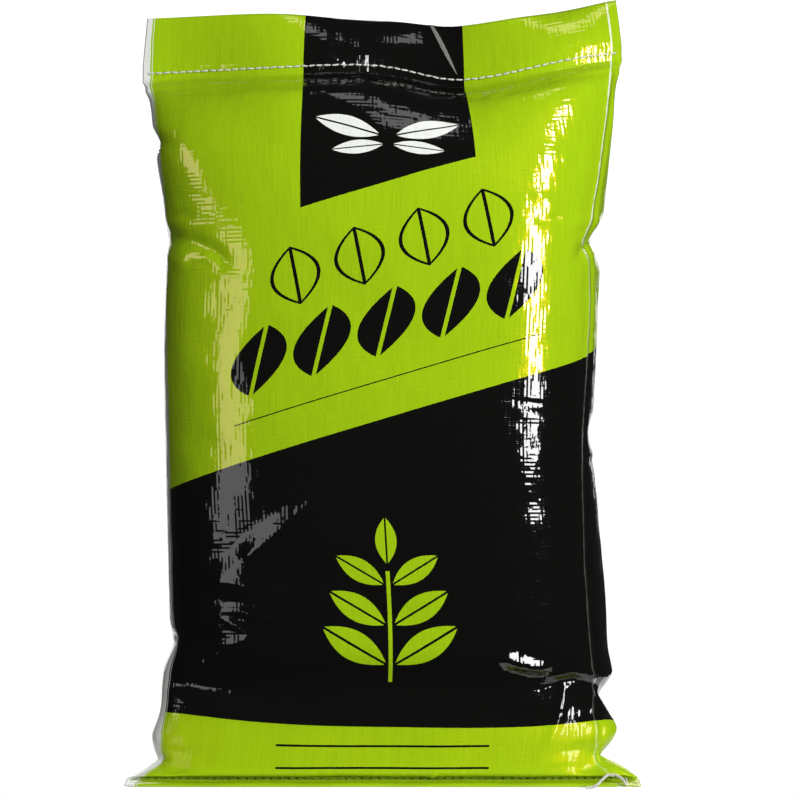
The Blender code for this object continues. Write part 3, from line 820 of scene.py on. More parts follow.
    def sprig(self, sheet: FlatSheet) -> Wire:
        """The sprig of leaves on the black field.

        Args:
            sheet: The flat sheet's places.

        Returns:
            The mask.
        """
        add = partial(add_node, sheet.tree)
        aside = add("Math", (sheet.off_middle,), operation="ABSOLUTE")
        marks = self.leaf_marks(sheet, aside, self.sprig_leaves())
        middle, half = (self.stem_foot + self.stem_head) / 2, (self.stem_head - self.stem_foot) / 2
        stem = add("Math", (sheet.run, middle, half), operation="COMPARE")
        narrow = add("Math", (aside, self.stem_half_width), operation="LESS_THAN")
        stem = add("Math", (stem, narrow), operation="MULTIPLY")
        return add("Math", (marks, stem), operation="MAXIMUM")

    def tab_mark(self, sheet: FlatSheet) -> Wire:
        """The plain white leaves on the tab.

        Args:
            sheet: The flat sheet's places.

        Returns:
            The mask.
        """
        add = partial(add_node, sheet.tree)
        aside = add("Math", (sheet.off_middle, self.tab_mark_shift), operation="SUBTRACT")
        aside = add("Math", (aside,), operation="ABSOLUTE")
        return self.leaf_marks(sheet, aside, self.tab_leaves)

    def row_marks(self, sheet: FlatSheet) -> Wire:
        """The slanted rows of leaves and the thin rules.

        Args:
            sheet: The flat sheet's places.

        Returns:
            The mask.
        """
        add = partial(add_node, sheet.tree)
        marks = 0.0
        for rule in self.rules:
            level = sheet.slanted if rule.slanted else sheet.run
            thick = add("Math", (level, rule.run, rule.half_thickness), operation="COMPARE")
            long = add("Math", (sheet.across, rule.middle, rule.half_length), operation="COMPARE")
            line = add("Math", (thick, long), operation="MULTIPLY")
            marks = add("Math", (marks, line), operation="MAXIMUM")
        for row in self.leaf_rows:
            tall = add("Math", (sheet.slanted, row.run), operation="SUBTRACT")
            tall = add("Math", (tall, row.height), operation="DIVIDE")
            cell = add("Math", (sheet.across, row.start), operation="SUBTRACT")
            cell = add("Math", (cell, row.pitch), operation="DIVIDE")
            within = add("Math", (cell, row.count / 2, row.count / 2), operation="COMPARE")
            aside = add("Math", (tall, row.shear, cell), operation="MULTIPLY_ADD")
            aside = add("Math", (aside,), operation="FRACT")
            aside = add("Math", (aside, 2 / row.share, -1 / row.share), operation="MULTIPLY_ADD")
            aside = add("Math", (aside,), operation="ABSOLUTE")
            edge = add("Math", (tall, tall, aside), operation="MULTIPLY_ADD")
            leaf = add("Math", (edge, 1.0), operation="LESS_THAN")
            vein = add("Math", (aside, row.vein), operation="LESS_THAN")
            if row.outline < 1:
                drawn = add("Math", (edge, 1 - row.outline), operation="GREATER_THAN")
                drawn = add("Math", (drawn, vein), operation="MAXIMUM")
            else:
                drawn = add("Math", (1.0, vein), operation="SUBTRACT")
            for limit in (drawn, within):
                leaf = add("Math", (leaf, limit), operation="MULTIPLY")
            marks = add("Math", (marks, leaf), operation="MAXIMUM")
        return marks

    def rub_and_highlight(self, sheet: FlatSheet, dark: Wire) -> Wire:
        """How much of the print is rubbed off along the right fold, a pale line that is also the fold's painted
        highlight.

        Args:
            sheet: The flat sheet's places.
            dark: Where the print is black.

        Returns:
            The share.
        """
        add = partial(add_node, sheet.tree)
        from_fold = add("Attribute", attribute_name="from_fold").outputs["Fac"]
        from_fold = add("Math", (from_fold,), operation="ABSOLUTE")
        width = add("TexNoise", {"Vector": sheet.place, "Scale": 1 / self.rub_highlight_grain, "Detail": 3.0})
        width = add("Math", (width, self.rub_highlight_width, self.rub_highlight_least), operation="MULTIPLY_ADD")
        share = add("Math", (from_fold, width), operation="LESS_THAN")
        high = add("Math", (sheet.run, self.highlight_above), operation="GREATER_THAN")
        for where, change in ((dark, self.rub_highlight_on_black), (high, self.rub_highlight_above)):
            part = add("Math", (where, *change), operation="MULTIPLY_ADD")
            share = add("Math", (share, part), operation="MULTIPLY")
        return share

    def tape_shade(self, sheet: FlatSheet) -> Wire:
        """How light each tape is, since no two are quite alike.

        Args:
            sheet: The flat sheet's places.

        Returns:
            The share of its colour that each place shows.
        """
        add = partial(add_node, sheet.tree)
        cells = []
        for way, size in ((sheet.girth, self.tape), (sheet.run, self.tilt_length)):
            cell = add("Math", (way, size), operation="DIVIDE")
            cells.append(add("Math", (cell,), operation="FLOOR"))
        shade = add("TexWhiteNoise", {"Vector": add("CombineXYZ", tuple(cells))}, noise_dimensions="2D")
        return add("Math", (shade.outputs["Value"], *self.tape_shades), operation="MULTIPLY_ADD")

    def weave(self, sheet: FlatSheet) -> Wire:
        """The height of a plain weave of flat tapes, each of which lies at a slightly different tilt.

        Args:
            sheet: The flat sheet's places.

        Returns:
            The height.
        """
        add = partial(add_node, sheet.tree)
        height = 0.0
        for way, along in ((sheet.girth, sheet.run), (sheet.run, sheet.girth)):
            scaled = add("Math", (way, self.tape), operation="DIVIDE")
            cell = add("Math", (scaled,), operation="FLOOR")
            length = add("Math", (along, self.tilt_length), operation="DIVIDE")
            # The two edges of a tape lie at different heights, so that each tape is a small plane
            edges = []
            for edge in (cell, add("Math", (cell, 1.0), operation="ADD")):
                spot = add("CombineXYZ", (add("Math", (edge, self.tilt_apart), operation="MULTIPLY"), length))
                lift = add("TexNoise", {"Vector": spot, "Scale": 1.0, "Detail": 1.0}, noise_dimensions="2D")
                lift = add("Math", (lift, self.tilt_rise), operation="MULTIPLY")
                over = add("Math", (edge, 1.0), operation="PINGPONG")
                edges.append(add("Math", (over, self.over_under, lift), operation="MULTIPLY_ADD"))
            step = add("Math", (edges[1], edges[0]), operation="SUBTRACT")
            across_tape = add("Math", (scaled,), operation="FRACT")
            here = add("Math", (step, across_tape, edges[0]), operation="MULTIPLY_ADD")
            height = add("Math", (height, here), operation="ADD")
        return height

    def bump(self, sheet: FlatSheet) -> Wire:
        """The normal of the crinkled film over the weave.

        Args:
            sheet: The flat sheet's places.

        Returns:
            The normal.
        """
        add = partial(add_node, sheet.tree)
        takes = {"Scale": 1 / self.crinkle_grain, "Detail": 3.5, "Roughness": 0.55, "Distortion": 0.3}
        crinkle = add("TexNoise", {"Vector": sheet.place, **takes})
        normal = add("Bump", {"Height": crinkle, "Distance": self.crinkle_height, "Strength": 1.0})
        takes = {"Height": self.weave(sheet), "Distance": self.weave_height, "Strength": 1.0, "Normal": normal}
        return add("Bump", takes)

    def build(self, form: SackForm) -> bpy.types.Material:
        """Makes the material.

        Args:
            form: The sack's form, for its flat sizes.

        Returns:
            The material, which reads the sheet's flat map.
        """
        material, tree = new_material("laminated_woven_polypropylene")
        add = partial(add_node, tree)
        sheet = self.lay_out(tree, form)
        bare, dark = self.field_masks(sheet)
        on_front = add("Math", (1.0, sheet.on_back), operation="SUBTRACT")
        marks = (self.row_marks(sheet), self.sprig(sheet), self.tab_mark(sheet))
        rows, sprig, leaves = (add("Math", (mark, on_front), operation="MULTIPLY") for mark in marks)
        # The pale line along the flap's fold is a painted reflection
        fold = add("Math", (self.lens(tree, sheet.place, self.fold_reflection_line)[0], 1.0), operation="LESS_THAN")
        inks = ((dark, self.black), (rows, self.black), (sprig, self.lime), (leaves, self.white))
        # The right fold's pale line is rubbed wear together with a painted highlight
        wear_and_highlights = ((self.rub_and_highlight(sheet, dark), self.rubbed_highlight), (fold, self.fold_reflection))
        film = self.laid_over(tree, self.lime, (*inks, (bare, self.white), *wear_and_highlights))
        film = add("VectorMath", (film, self.tape_shade(sheet)), operation="MULTIPLY")
        all_dark = add("Math", (dark, rows), operation="MAXIMUM")
        sheen = self.laid_over(tree, self.ink_sheen, ((bare, self.white), (all_dark, self.dark_sheen)))
        ends = {1: self.scuffed_below + self.scuff_fade, 2: self.scuffed_below}
        scuffed = add("MapRange", {0: sheet.run, **ends})
        rough = add("TexNoise", {"Vector": sheet.place, "Scale": 1 / self.roughness_grain, "Detail": 4.0})
        least = self.roughness - self.roughness_spread / 2
        rough = add("Math", (rough, self.roughness_spread, least), operation="MULTIPLY_ADD")
        normal = self.bump(sheet)
        shader = add(
            "BsdfPrincipled",
            {
                "Base Color": film,
                "Roughness": add("Math", (scuffed, self.scuff, rough), operation="MULTIPLY_ADD"),
                "IOR": self.ior,
                "Specular IOR Level": 1.0,
                "Specular Tint": sheen,
                "Coat Weight": add("Math", (scuffed, self.scuffed_coat - 1, 1.0), operation="MULTIPLY_ADD"),
                "Coat Roughness": self.coat_roughness,
                "Coat IOR": self.ior,
                "Normal": normal,
                "Coat Normal": normal,
            },
        )
        add("OutputMaterial", {"Surface": shader})
        return material


@dataclass(frozen=True)
class SpunPolyester:
    """Two-ply spun polyester sewing thread: matt, a little hairy, off-white with grey in its twist."""

    colour: str = "#E3E2DC"
    shade: str = "#A9A8A0"
    name: str = "spun_polyester_thread"
    # Fibres are about 0.015 mm and are drawn at 0.3 mm, so that they show
    fibre_grain: float = 0.0003125
    soil_grain: float = 0.0071429
    roughness: float = 0.82

    def build(self) -> bpy.types.Material:
        """Makes the material."""
        material, tree = new_material(self.name)
        add = partial(add_node, tree)
        place = add("TexCoord").outputs["Object"]
        fibre = add("TexNoise", {"Vector": place, "Scale": 1 / self.fibre_grain, "Detail": 2.0})
        dirt_and_shade = add("TexNoise", {"Vector": place, "Scale": 1 / self.soil_grain, "Detail": 2.0})
        ends = {6: linear(self.shade), 7: linear(self.colour)}
        colour = add("Mix", {0: dirt_and_shade, **ends}, data_type="RGBA").outputs[2]
        normal = add("Bump", {"Height": fibre, "Distance": 0.0001, "Strength": 0.7})
        hairy = {"Sheen Weight": 0.3, "Sheen Roughness": 0.5}
        takes = {"Base Color": colour, "Roughness": self.roughness, "Normal": normal, **hairy}
        add("OutputMaterial", {"Surface": add("BsdfPrincipled", takes)})
        return material


@dataclass(frozen=True)
class StudioPaper:
    """Seamless background paper: matt, white to the lens, and it keeps the shadow of what stands on it."""

    name: str
    strength: float
    colour: str = "#F4F4F4"
    share_white: float = 0.82

    def build(self) -> bpy.types.Material:
        """Makes the material."""
        material, tree = new_material(self.name)
        add = partial(add_node, tree)
        ray = add("LightPath").outputs
        seen = add("Math", (ray["Is Camera Ray"], ray["Is Transmission Ray"]), operation="MAXIMUM")
        seen = add("Math", (seen, ray["Is Glossy Ray"]), operation="MAXIMUM")
        share = add("Math", (seen, self.share_white), operation="MULTIPLY")
        paper = add("BsdfDiffuse", {"Color": linear(self.colour)})
        white = add("Emission", {"Strength": self.strength})
        add("OutputMaterial", {"Surface": add("MixShader", (share, paper, white))})
        return material


def twisted(points: np.ndarray, diameter: float, swell: np.ndarray | None = None, sides: int = 8) -> tuple:
    """A two-ply thread along a line.

    Args:
        points: The line that it follows.
        diameter: Its thickness.
        swell: Its thickness at each point, as a share.
        sides: How many sides it has.

    Returns:
        Its corners and faces.
    """
    steps = np.gradient(points, axis=0)
    ways = steps / np.maximum(np.linalg.norm(steps, axis=1), 1e-9)[:, None]
    normal = np.cross(ways[0], (0.0, 0.0, 1.0))
    if np.linalg.norm(normal) < 0.1:
        normal = np.cross(ways[0], (1.0, 0.0, 0.0))
    along = np.concatenate([[0], np.cumsum(np.linalg.norm(np.diff(points, axis=0), axis=1))])
    turn = np.linspace(0, 2 * math.pi, sides, endpoint=False)
    rings = []
    for i, (point, way) in enumerate(zip(points, ways)):
        normal = normal - way * (normal @ way)
        normal /= np.linalg.norm(normal)
        other = np.cross(way, normal)
        # One turn of the two plies takes about 3.2 thread diameters
        lobes = 1 - 0.16 + 0.16 * np.cos(2 * (turn - 2 * math.pi * along[i] / (3.2 * diameter)))
        radius = diameter / 2 * lobes * (1.0 if swell is None else swell[i])
        rings.append(point + radius[:, None] * (np.cos(turn)[:, None] * normal + np.sin(turn)[:, None] * other))
    corners = np.concatenate(rings)
    faces = []
    for i in range(len(points) - 1):
        for j in range(sides):
            a, b = i * sides + j, i * sides + (j + 1) % sides
            faces.append((a, b, b + sides, a + sides))
    faces.append(tuple(range(sides))[::-1])
    faces.append(tuple(range(len(corners) - sides, len(corners))))
    return corners, faces


def joined(parts: list) -> tuple:
    """Several corner and face lists as one."""
    corners, faces, first = [], [], 0
    for part, part_faces in parts:
        corners.append(part)
        faces += [tuple(first + i for i in face) for face in part_faces]
        first += len(part)
    return np.concatenate(corners), faces


@dataclass
class ThreadTail:
    """The loose end of the lower closing thread, which loops over the hem at the right."""

    diameter: float = 0.0024
    strand: float = 0.0017
    loop_radius: float = 0.0011
    loop_pitch: float = 0.0075
    route: tuple = (
        (0.2415, -0.0677, 0.0041), (0.2418, -0.0750, 0.0042), (0.2418, -0.0815, 0.0042), (0.2416, -0.0872, 0.0042),
        (0.2405, -0.0906, 0.0046), (0.2390, -0.0910, 0.0068), (0.2365, -0.0875, 0.0092), (0.2325, -0.0825, 0.0106),
        (0.2285, -0.0790, 0.0110), (0.2235, -0.0790, 0.0108), (0.2190, -0.0840, 0.0092), (0.2150, -0.0890, 0.0068),
        (0.2110, -0.0920, 0.0038), (0.2060, -0.0935, 0.0020), (0.1995, -0.0940, 0.0016),
    )

    def build(self, thread: bpy.types.Material) -> bpy.types.Object:
        """Args:
            thread: The thread's material.

        Returns:
            The piece.
        """
        route = np.array(self.route)
        knots = np.concatenate([[0], np.cumsum(np.linalg.norm(np.diff(route, axis=0), axis=1))])
        at = np.linspace(0, knots[-1], 96)
        line = np.stack([through(list(zip(knots, column)), at) for column in route.T], axis=1)
        swell = np.ones(len(line))
        swell[-3:] = (0.85, 0.6, 0.3)
        strands = []
        for half in (0.0, math.pi):
            turn = 2 * math.pi * at / self.loop_pitch + half
            aside = self.loop_radius * swell * np.sin(np.minimum(at / self.loop_pitch, 1.0) * math.pi / 2)
            strand = line + aside[:, None] * np.stack([0 * turn, np.cos(turn), np.sin(turn)], axis=1)
            strand[:, 1] -= aside
            strand[:, 2] = np.maximum(strand[:, 2], 0.6 * self.strand)
            strands.append(twisted(strand, self.strand, swell))
        tail = add_piece("thread_tail_twisted", *joined(strands), thread, "closing_thread")
        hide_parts("thread_tail")
        return tail


@dataclass
class ClosingSeams:
    """The sewn rows: single stitches on the front of the flap, chain loops on its back, stitches in the hem."""

    pitch: float = 0.0082
    diameter: float = 0.0020
    hem_diameter: float = 0.0016
    hem_run: float = 0.0195
    edge: float = 0.005
    hole_sway: float = 0.0006
    stitch_skew: float = 0.0005
    loop_half_width: float = 0.0011
    loop_turn: float = 0.86 * math.pi
    loop_thread: float = 0.72

    def rows(self, film: "FilmSurface", face: int) -> np.ndarray:
        """The girth positions of the needle holes, slightly uneven.

        Args:
            film: The dressed film.
            face: 0 for the front and 1 for the back.

        Returns:
            The positions, in order to the right on the front.
        """
        form = film.form
        count = round((form.flat_width - 2 * self.edge) / self.pitch)
        at = np.linspace(self.edge, form.flat_width - self.edge, count + 1)
        at = at + np.array([self.hole_sway * math.sin(5.1 * i) for i in range(count + 1)])
        return at if face == 0 else form.girth - at

    def stitches(self, film: "FilmSurface", run: float, diameter: float, face: int) -> list:
        """One row of single stitches that dive into their holes.

        Args:
            film: The dressed film.
            run: The run that they lie at.
            diameter: The thread's thickness.
            face: 0 for the front and 1 for the back.

        Returns:
            Corner and face lists, one for each stitch.
        """
        holes = self.rows(film, face)
        parts = []
        for i, (start, end) in enumerate(zip(holes[:-1], holes[1:])):
            share = np.linspace(0.07, 0.93, 13)
            lift = diameter * (0.55 - 1.7 * np.abs(1.16 * (2 * share - 1)) ** 5)
            skew = self.stitch_skew * math.sin(3.7 * i) * (2 * share - 1)
            points = film.points(start + (end - start) * share, run + skew, lift)
            swell = 0.72 + 0.28 * np.sin(math.pi * share)
            parts.append(twisted(points, diameter, swell))
        return parts

    def loops(self, film: "FilmSurface") -> list:
        """The chain of loops on the back of the flap.

        Args:
            film: The dressed film.

        Returns:
            Corner and face lists, one for each loop.
        """
        holes = self.rows(film, 1)
        parts = []
        for start, end in zip(holes[:-1], holes[1:]):
            turn = np.linspace(-self.loop_turn, self.loop_turn, 21)
            share = 0.55 + 0.62 * np.cos(turn)
            aside = self.loop_half_width * np.sin(turn) * (0.7 + 0.3 * np.cos(turn))
            lift = self.diameter * (0.42 + 0.25 * np.cos(turn))
            points = film.points(start + (end - start) * share, film.form.seam_run + aside, lift)
            parts.append(twisted(points, self.loop_thread * self.diameter))
        return parts

    def build(self, film: "FilmSurface", thread: bpy.types.Material, dirt_and_shade: bpy.types.Material) -> list:
        """Makes the three rows.

        Args:
            film: The dressed film that they lie on.
            thread: The thread's material.
            dirt_and_shade: The material of the hem's thread, coloured a darker lime near the film's: a little dirt,
                and painted shade of the crease that it lies in.

        Returns:
            The pieces.
        """
        seam = film.form.seam_run
        front = joined(self.stitches(film, seam, self.diameter, 0))
        lower = joined(self.stitches(film, self.hem_run, self.hem_diameter, 0))
        made = []
        for name, node, parts, finish in (
            ("front_stitches", "top_front_thread", front, thread),
            ("back_chain_loops", "top_back_thread", joined(self.loops(film)), thread),
            ("hem_stitches", "bottom_closing_thread", lower, dirt_and_shade),
        ):
            piece = add_piece(name, *parts, finish, "closing_thread")
            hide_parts(node)
            made.append(piece)
        return made


@dataclass
class LooseFibres:
    """Fine fibres that stand out of the thread's cut ends and of the woven edge at the corners."""

    thickness: float = 0.00032

    def build(self, film: "FilmSurface", thread: bpy.types.Material) -> bpy.types.Object:
        """Makes them all as one piece.

        Args:
            film: The dressed film.
            thread: The thread's material.

        Returns:
            The piece.
        """
        parts = []
        tail = np.array(ThreadTail.route[-1])
        for i in range(7):
            way = math.radians(150 + 14 * i)
            end = tail + np.array((0.006 * math.cos(way), 0.004 * math.sin(way) - 0.001, 0.0003 * (i % 3)))
            parts.append(self.fibre(tail + (0.001, 0, 0), end, 0.0006))
        seam = film.form.seam_run
        for girth, run, rise in ((0.192, 0.0, -5.0), (0.196, 0.0, -3.5), (0.2335, 0.0, 4.5), (0.236, 0.0, 6.0)):
            base = film.points(np.array([girth]), seam + run, 0.0012)[0]
            end = film.points(np.array([girth + 0.003 * math.copysign(1, rise)]), seam + rise * MM, 0.0018)[0]
            parts.append(self.fibre(base, end, 0.0008))
        for i in range(9):
            base = film.points(np.array([0.0015 + 0.0007 * i]), 0.002 + 0.0021 * i, 0.0002)[0]
            end = base + np.array((-0.0016 - 0.0005 * (i % 3), -0.0006 * (i % 2), 0.0006 + 0.0004 * (i % 4)))
            parts.append(self.fibre(base, end, 0.0004))
        return add_piece("loose_fibres", *joined(parts), thread, "closing_thread")

    def fibre(self, start: np.ndarray, end: np.ndarray, bow: float) -> tuple:
        """One bowed fibre.

        Args:
            start: Where it comes out.
            end: Its tip.
            bow: How far its middle lifts.

        Returns:
            Its corners and faces.
        """
        share = np.linspace(0, 1, 6)[:, None]
        line = start + (end - start) * share
        line[:, 2] = np.maximum(line[:, 2] + bow * np.sin(math.pi * share[:, 0]), 0.0004)
        return twisted(line, self.thickness, 1 - 0.6 * share[:, 0], 4)


@dataclass
class FilmSurface:
    """The dressed film of the whole sack, with its creases, gathers and lumps."""

    form: SackForm
    front_columns: int = 204
    back_columns: int = 108
    front_crowding: float = 0.4
    back_crowding: float = 0.55
    row_step: float = 0.0031
    fine_hem: float = 0.032
    fine_seam: float = 0.006
    row_gap: float = 0.0015
    gather: float = 0.0005
    pucker: float = 0.00022
    fold_height: float = 0.0012
    fold_reach: float = 0.0045
    fold_drop: float = 0.0014
    drop_past: float = 0.008
    drop_width: float = 0.004
    gather_down: float = 0.042
    gather_up: float = 0.020
    layer_edge: float = 0.0085
    layer_step: float = 0.0005
    hem_wave: float = 0.0004
    pucker_pitch: float = 0.0082
    # Each layer of lumps: size, height and which unevenness it is
    lumps: tuple = ((0.070, 0.0016, 3.1), (0.034, 0.0007, 8.4), (0.016, 0.00022, 5.5))
    join_reach: float = 0.030
    # Where the films lie together, these shares of the lumps and of the fold are gone
    lumps_lost: float = 0.8
    fold_lost: float = 0.75
    gather_fan: float = 0.10
    gather_sizes: tuple = (0.017, 0.0085)
    gather_sharp: float = 2.2
    pucker_reach: float = 0.0045
    slit_depth: float = 0.014
    film: float = 0.0003

    def __post_init__(self) -> None:
        """Works out the whole surface once."""
        self.girths = self.columns()
        self.runs = self.rows()
        base = self.form.place(self.girths, self.runs)
        along = np.gradient(base, axis=1)
        up = np.gradient(base, axis=0)
        normal = np.cross(along, up)
        length = np.linalg.norm(normal, axis=-1, keepdims=True)
        self.normal = normal / np.maximum(length, 1e-12)
        self.surface = base + self.normal * self.relief()[..., None]
        self.surface[..., 2] = np.maximum(self.surface[..., 2], 0.0)
        self.surface[:, -1] = self.surface[:, 0]

    def columns(self) -> np.ndarray:
        """The columns' girth positions, closer together towards the folds."""
        width = self.form.flat_width
        faces = []
        for count, crowding in ((self.front_columns, self.front_crowding), (self.back_columns, self.back_crowding)):
            even = np.linspace(0, 1, count + 1)
            faces.append((1 - crowding) * even + crowding * (1 - np.cos(math.pi * even)) / 2)
        return np.concatenate([width * faces[0], width + width * faces[1][1:]])

    def rows(self) -> np.ndarray:
        """The rows' runs, closer together on the hem and at the seam."""
        top, seam = self.form.top_run, self.form.seam_run
        even = np.linspace(0, top, round(top / self.row_step) + 1)
        hem = np.linspace(0, self.fine_hem, 22)
        sewn = np.linspace(seam - self.fine_seam, seam + self.fine_seam, 11)
        runs = np.concatenate([even[even > self.fine_hem + self.row_gap], hem, sewn])
        runs = runs[(np.abs(runs - seam) > self.fine_seam + self.row_gap) | np.isin(runs, sewn)]
        return np.unique(runs)

    def relief(self) -> np.ndarray:
        """How far the film stands off the plain form at each point."""
        g, r = np.meshgrid(self.girths, self.runs)
        form = self.form
        places = np.stack([g, r], axis=-1)
        flat = form.flatness(self.runs)[:, None]
        # The left fold joins the last column to the first, so unevenness dies away there
        seamless = ease(np.minimum(g, form.girth - g) / self.join_reach)
        calm = seamless * (1 - self.lumps_lost * flat)
        rise = sum(height * calm * grain(places, size, seed) for size, height, seed in self.lumps)
        rise += sum(crease.rise(g, r) for crease in CREASES)
        rise += self.gathers(g, r) + self.right_fold(g, r) * (1 - self.fold_lost * flat)
        # Where the films lie together the back one moves with the front one
        mirrored = np.stack([np.interp(form.girth - self.girths, self.girths, row) for row in rise])
        back = g > form.flat_width
        return np.where(back, (1 - flat) * rise - flat * mirrored, rise) + self.hem_layers(g, r)

    def right_fold(self, g: np.ndarray, r: np.ndarray) -> np.ndarray:
        """The right pressed fold: a sharp ridge, with the film falling away behind it.

        Args:
            g: Girth positions.
            r: Runs.

        Returns:
            The lift.
        """
        line = np.array(FOLD_LINE, float) * MM
        off = g - np.interp(r, line[:, 0], line[:, 1])
        ridge = self.fold_height * np.clip(1 - np.abs(off) / self.fold_reach, 0, 1)
        drop = self.fold_drop * np.exp(-(((off - self.drop_past) / self.drop_width) ** 2))
        return ridge - drop

    def gathers(self, g: np.ndarray, r: np.ndarray) -> np.ndarray:
        """The small folds that the stitches gather, which run down from the seam and up the flap.

        Args:
            g: Girth positions.
            r: Runs.

        Returns:
            The lift.
        """
        below = self.form.seam_run - r
        reach = np.where(below > 0, self.gather_down, self.gather_up)
        near = np.exp(-np.abs(below) / reach) * ease(np.abs(below) / 0.010)
        fan = g + self.gather_fan * below * np.sin(g * 23)
        coarse, fine = self.gather_sizes
        folds = grain(np.stack([fan, 0.25 * r], axis=-1), coarse, 1.7)
        folds = folds + 0.5 * grain(np.stack([fan, 0.3 * r], axis=-1), fine, 4.2)
        folds = 1 - self.gather_sharp * np.abs(folds)
        edge = ease(np.minimum(np.abs(g - self.form.flat_width), np.minimum(g, self.form.girth - g)) / 0.012)
        sewn = self.pucker * np.cos(2 * math.pi * g / self.pucker_pitch) * np.exp(-((below / self.pucker_reach) ** 2))
        return (self.gather * near * folds + sewn) * edge

    def hem_layers(self, g: np.ndarray, r: np.ndarray) -> np.ndarray:
        """The edges of the hem's folded layers, and its slight waves.

        Args:
            g: Girth positions.
            r: Runs.

        Returns:
            The lift, on the front face only.
        """
        front = g < self.form.flat_width
        step = self.layer_step * np.tanh((self.layer_edge - r) / 0.0006) * (r < 0.016)
        wave = self.hem_wave * np.sin(g * 61) * ease(1 - r / self.form.hem_depth)
        return np.where(front, step + wave, 0.0)

    def points(self, girth: np.ndarray, run: np.ndarray | float, lift: np.ndarray | float) -> np.ndarray:
        """Points on or over the film.

        Args:
            girth: Girth positions.
            run: Runs.
            lift: How far they stand off the film.

        Returns:
            The points.
        """
        run = np.broadcast_to(run, girth.shape)
        j = np.clip(np.searchsorted(self.girths, girth, side="right") - 1, 0, len(self.girths) - 2)
        i = np.clip(np.searchsorted(self.runs, run, side="right") - 1, 0, len(self.runs) - 2)
        a = ((girth - self.girths[j]) / (self.girths[j + 1] - self.girths[j]))[:, None]
        b = ((run - self.runs[i]) / (self.runs[i + 1] - self.runs[i]))[:, None]

        def read(values: np.ndarray) -> np.ndarray:
            """A grid's values between its corners."""
            low = values[i, j] * (1 - a) + values[i, j + 1] * a
            high = values[i + 1, j] * (1 - a) + values[i + 1, j + 1] * a
            return low * (1 - b) + high * b

        lift = np.broadcast_to(lift, girth.shape)[:, None]
        return read(self.surface) + read(self.normal) * lift

    def middle(self, run: float) -> np.ndarray:
        """The line midway between the two films at a run, for every column."""
        here = self.points(self.girths, run, 0.0)
        there = self.points(self.form.girth - self.girths, run, 0.0)
        return (here + there) / 2

    def build(self, material: bpy.types.Material) -> bpy.types.Object:
        """Makes the sack's mesh, with the flat map that its print reads.

        Args:
            material: The printed film.

        Returns:
            The piece.
        """
        form = self.form
        top = self.surface[-1]
        middle = self.middle(form.top_run)
        inward = middle - top
        inward *= np.minimum(1.0, self.film / np.maximum(np.linalg.norm(inward, axis=1), 1e-9))[:, None]
        hem = self.middle(0.0) + (0.0, -0.0007, 0.0)
        hem[:, 2] = self.surface[0][:, 2].max() * 0.45
        slit = self.middle(form.top_run - self.slit_depth)
        grid = np.concatenate([hem[None], self.surface, (top + inward)[None], slit[None]])
        flat_runs = np.concatenate([[0.0], self.runs, [form.top_run - self.film, form.top_run - self.slit_depth]])
        rows, columns = grid.shape[:2]
        index = np.arange(rows * (columns - 1)).reshape(rows, columns - 1)
        index = np.concatenate([index, index[:, :1]], axis=1)
        quads = np.stack([index[:-1, :-1], index[:-1, 1:], index[1:, 1:], index[1:, :-1]], axis=-1).reshape(-1, 4)
        sack = add_piece("printed_sack", grid[:, :-1].reshape(-1, 3), quads.tolist(), material, "printed_film")
        g, r = np.meshgrid(self.girths / form.girth, flat_runs / form.girth)
        corners = np.stack([g, r], axis=-1)
        loops = np.stack([corners[:-1, :-1], corners[:-1, 1:], corners[1:, 1:], corners[1:, :-1]], axis=-2)
        sack.data.uv_layers.new(name="flat").data.foreach_set("uv", loops.reshape(-1))
        for name, table in (("from_fold", FOLD_LINE), ("from_left", LEFT_EDGE)):
            line = np.array(table, float) * MM
            off = self.girths[None, :-1] - np.interp(flat_runs, line[:, 0], line[:, 1])[:, None]
            sack.data.attributes.new(name, "FLOAT", "POINT").data.foreach_set("value", off.reshape(-1))
        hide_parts("sack")
        return sack


class Lamp(Enum):
    """The studio's lamps."""

    RIGHT_UPPER = "right_upper"
    RIGHT_LOWER = "right_lower"
    LEFT_UPPER = "left_upper"
    LEFT_LOWER = "left_lower"
    OVERHEAD = "overhead"
    FRONT_FILL = "front_fill"
    LEFT_BACK = "left_back"
    RIGHT_BACK = "right_back"


@dataclass(frozen=True)
class Softbox:
    """A rectangular softbox: its place, what it faces, its width, height and power in watts."""

    lamp: Lamp
    place: tuple
    faces: tuple
    width: float
    height: float
    power: float
    mirrored: bool = True

    def build(self) -> bpy.types.Object:
        """Hangs the softbox."""
        light = bpy.data.lights.new(self.lamp.value, "AREA")
        light.shape = "RECTANGLE"
        light.size, light.size_y = self.width, self.height
        light.energy = self.power
        box = bpy.data.objects.new(self.lamp.value, light)
        box.location = self.place
        box.rotation_euler = (Vector(self.faces) - Vector(self.place)).to_track_quat("-Z", "Y").to_euler()
        box.visible_camera = False
        box.visible_glossy = self.mirrored
        bpy.context.scene.collection.objects.link(box)
        LOG.info("%s: %.0f W", self.lamp.value, self.power)
        return box


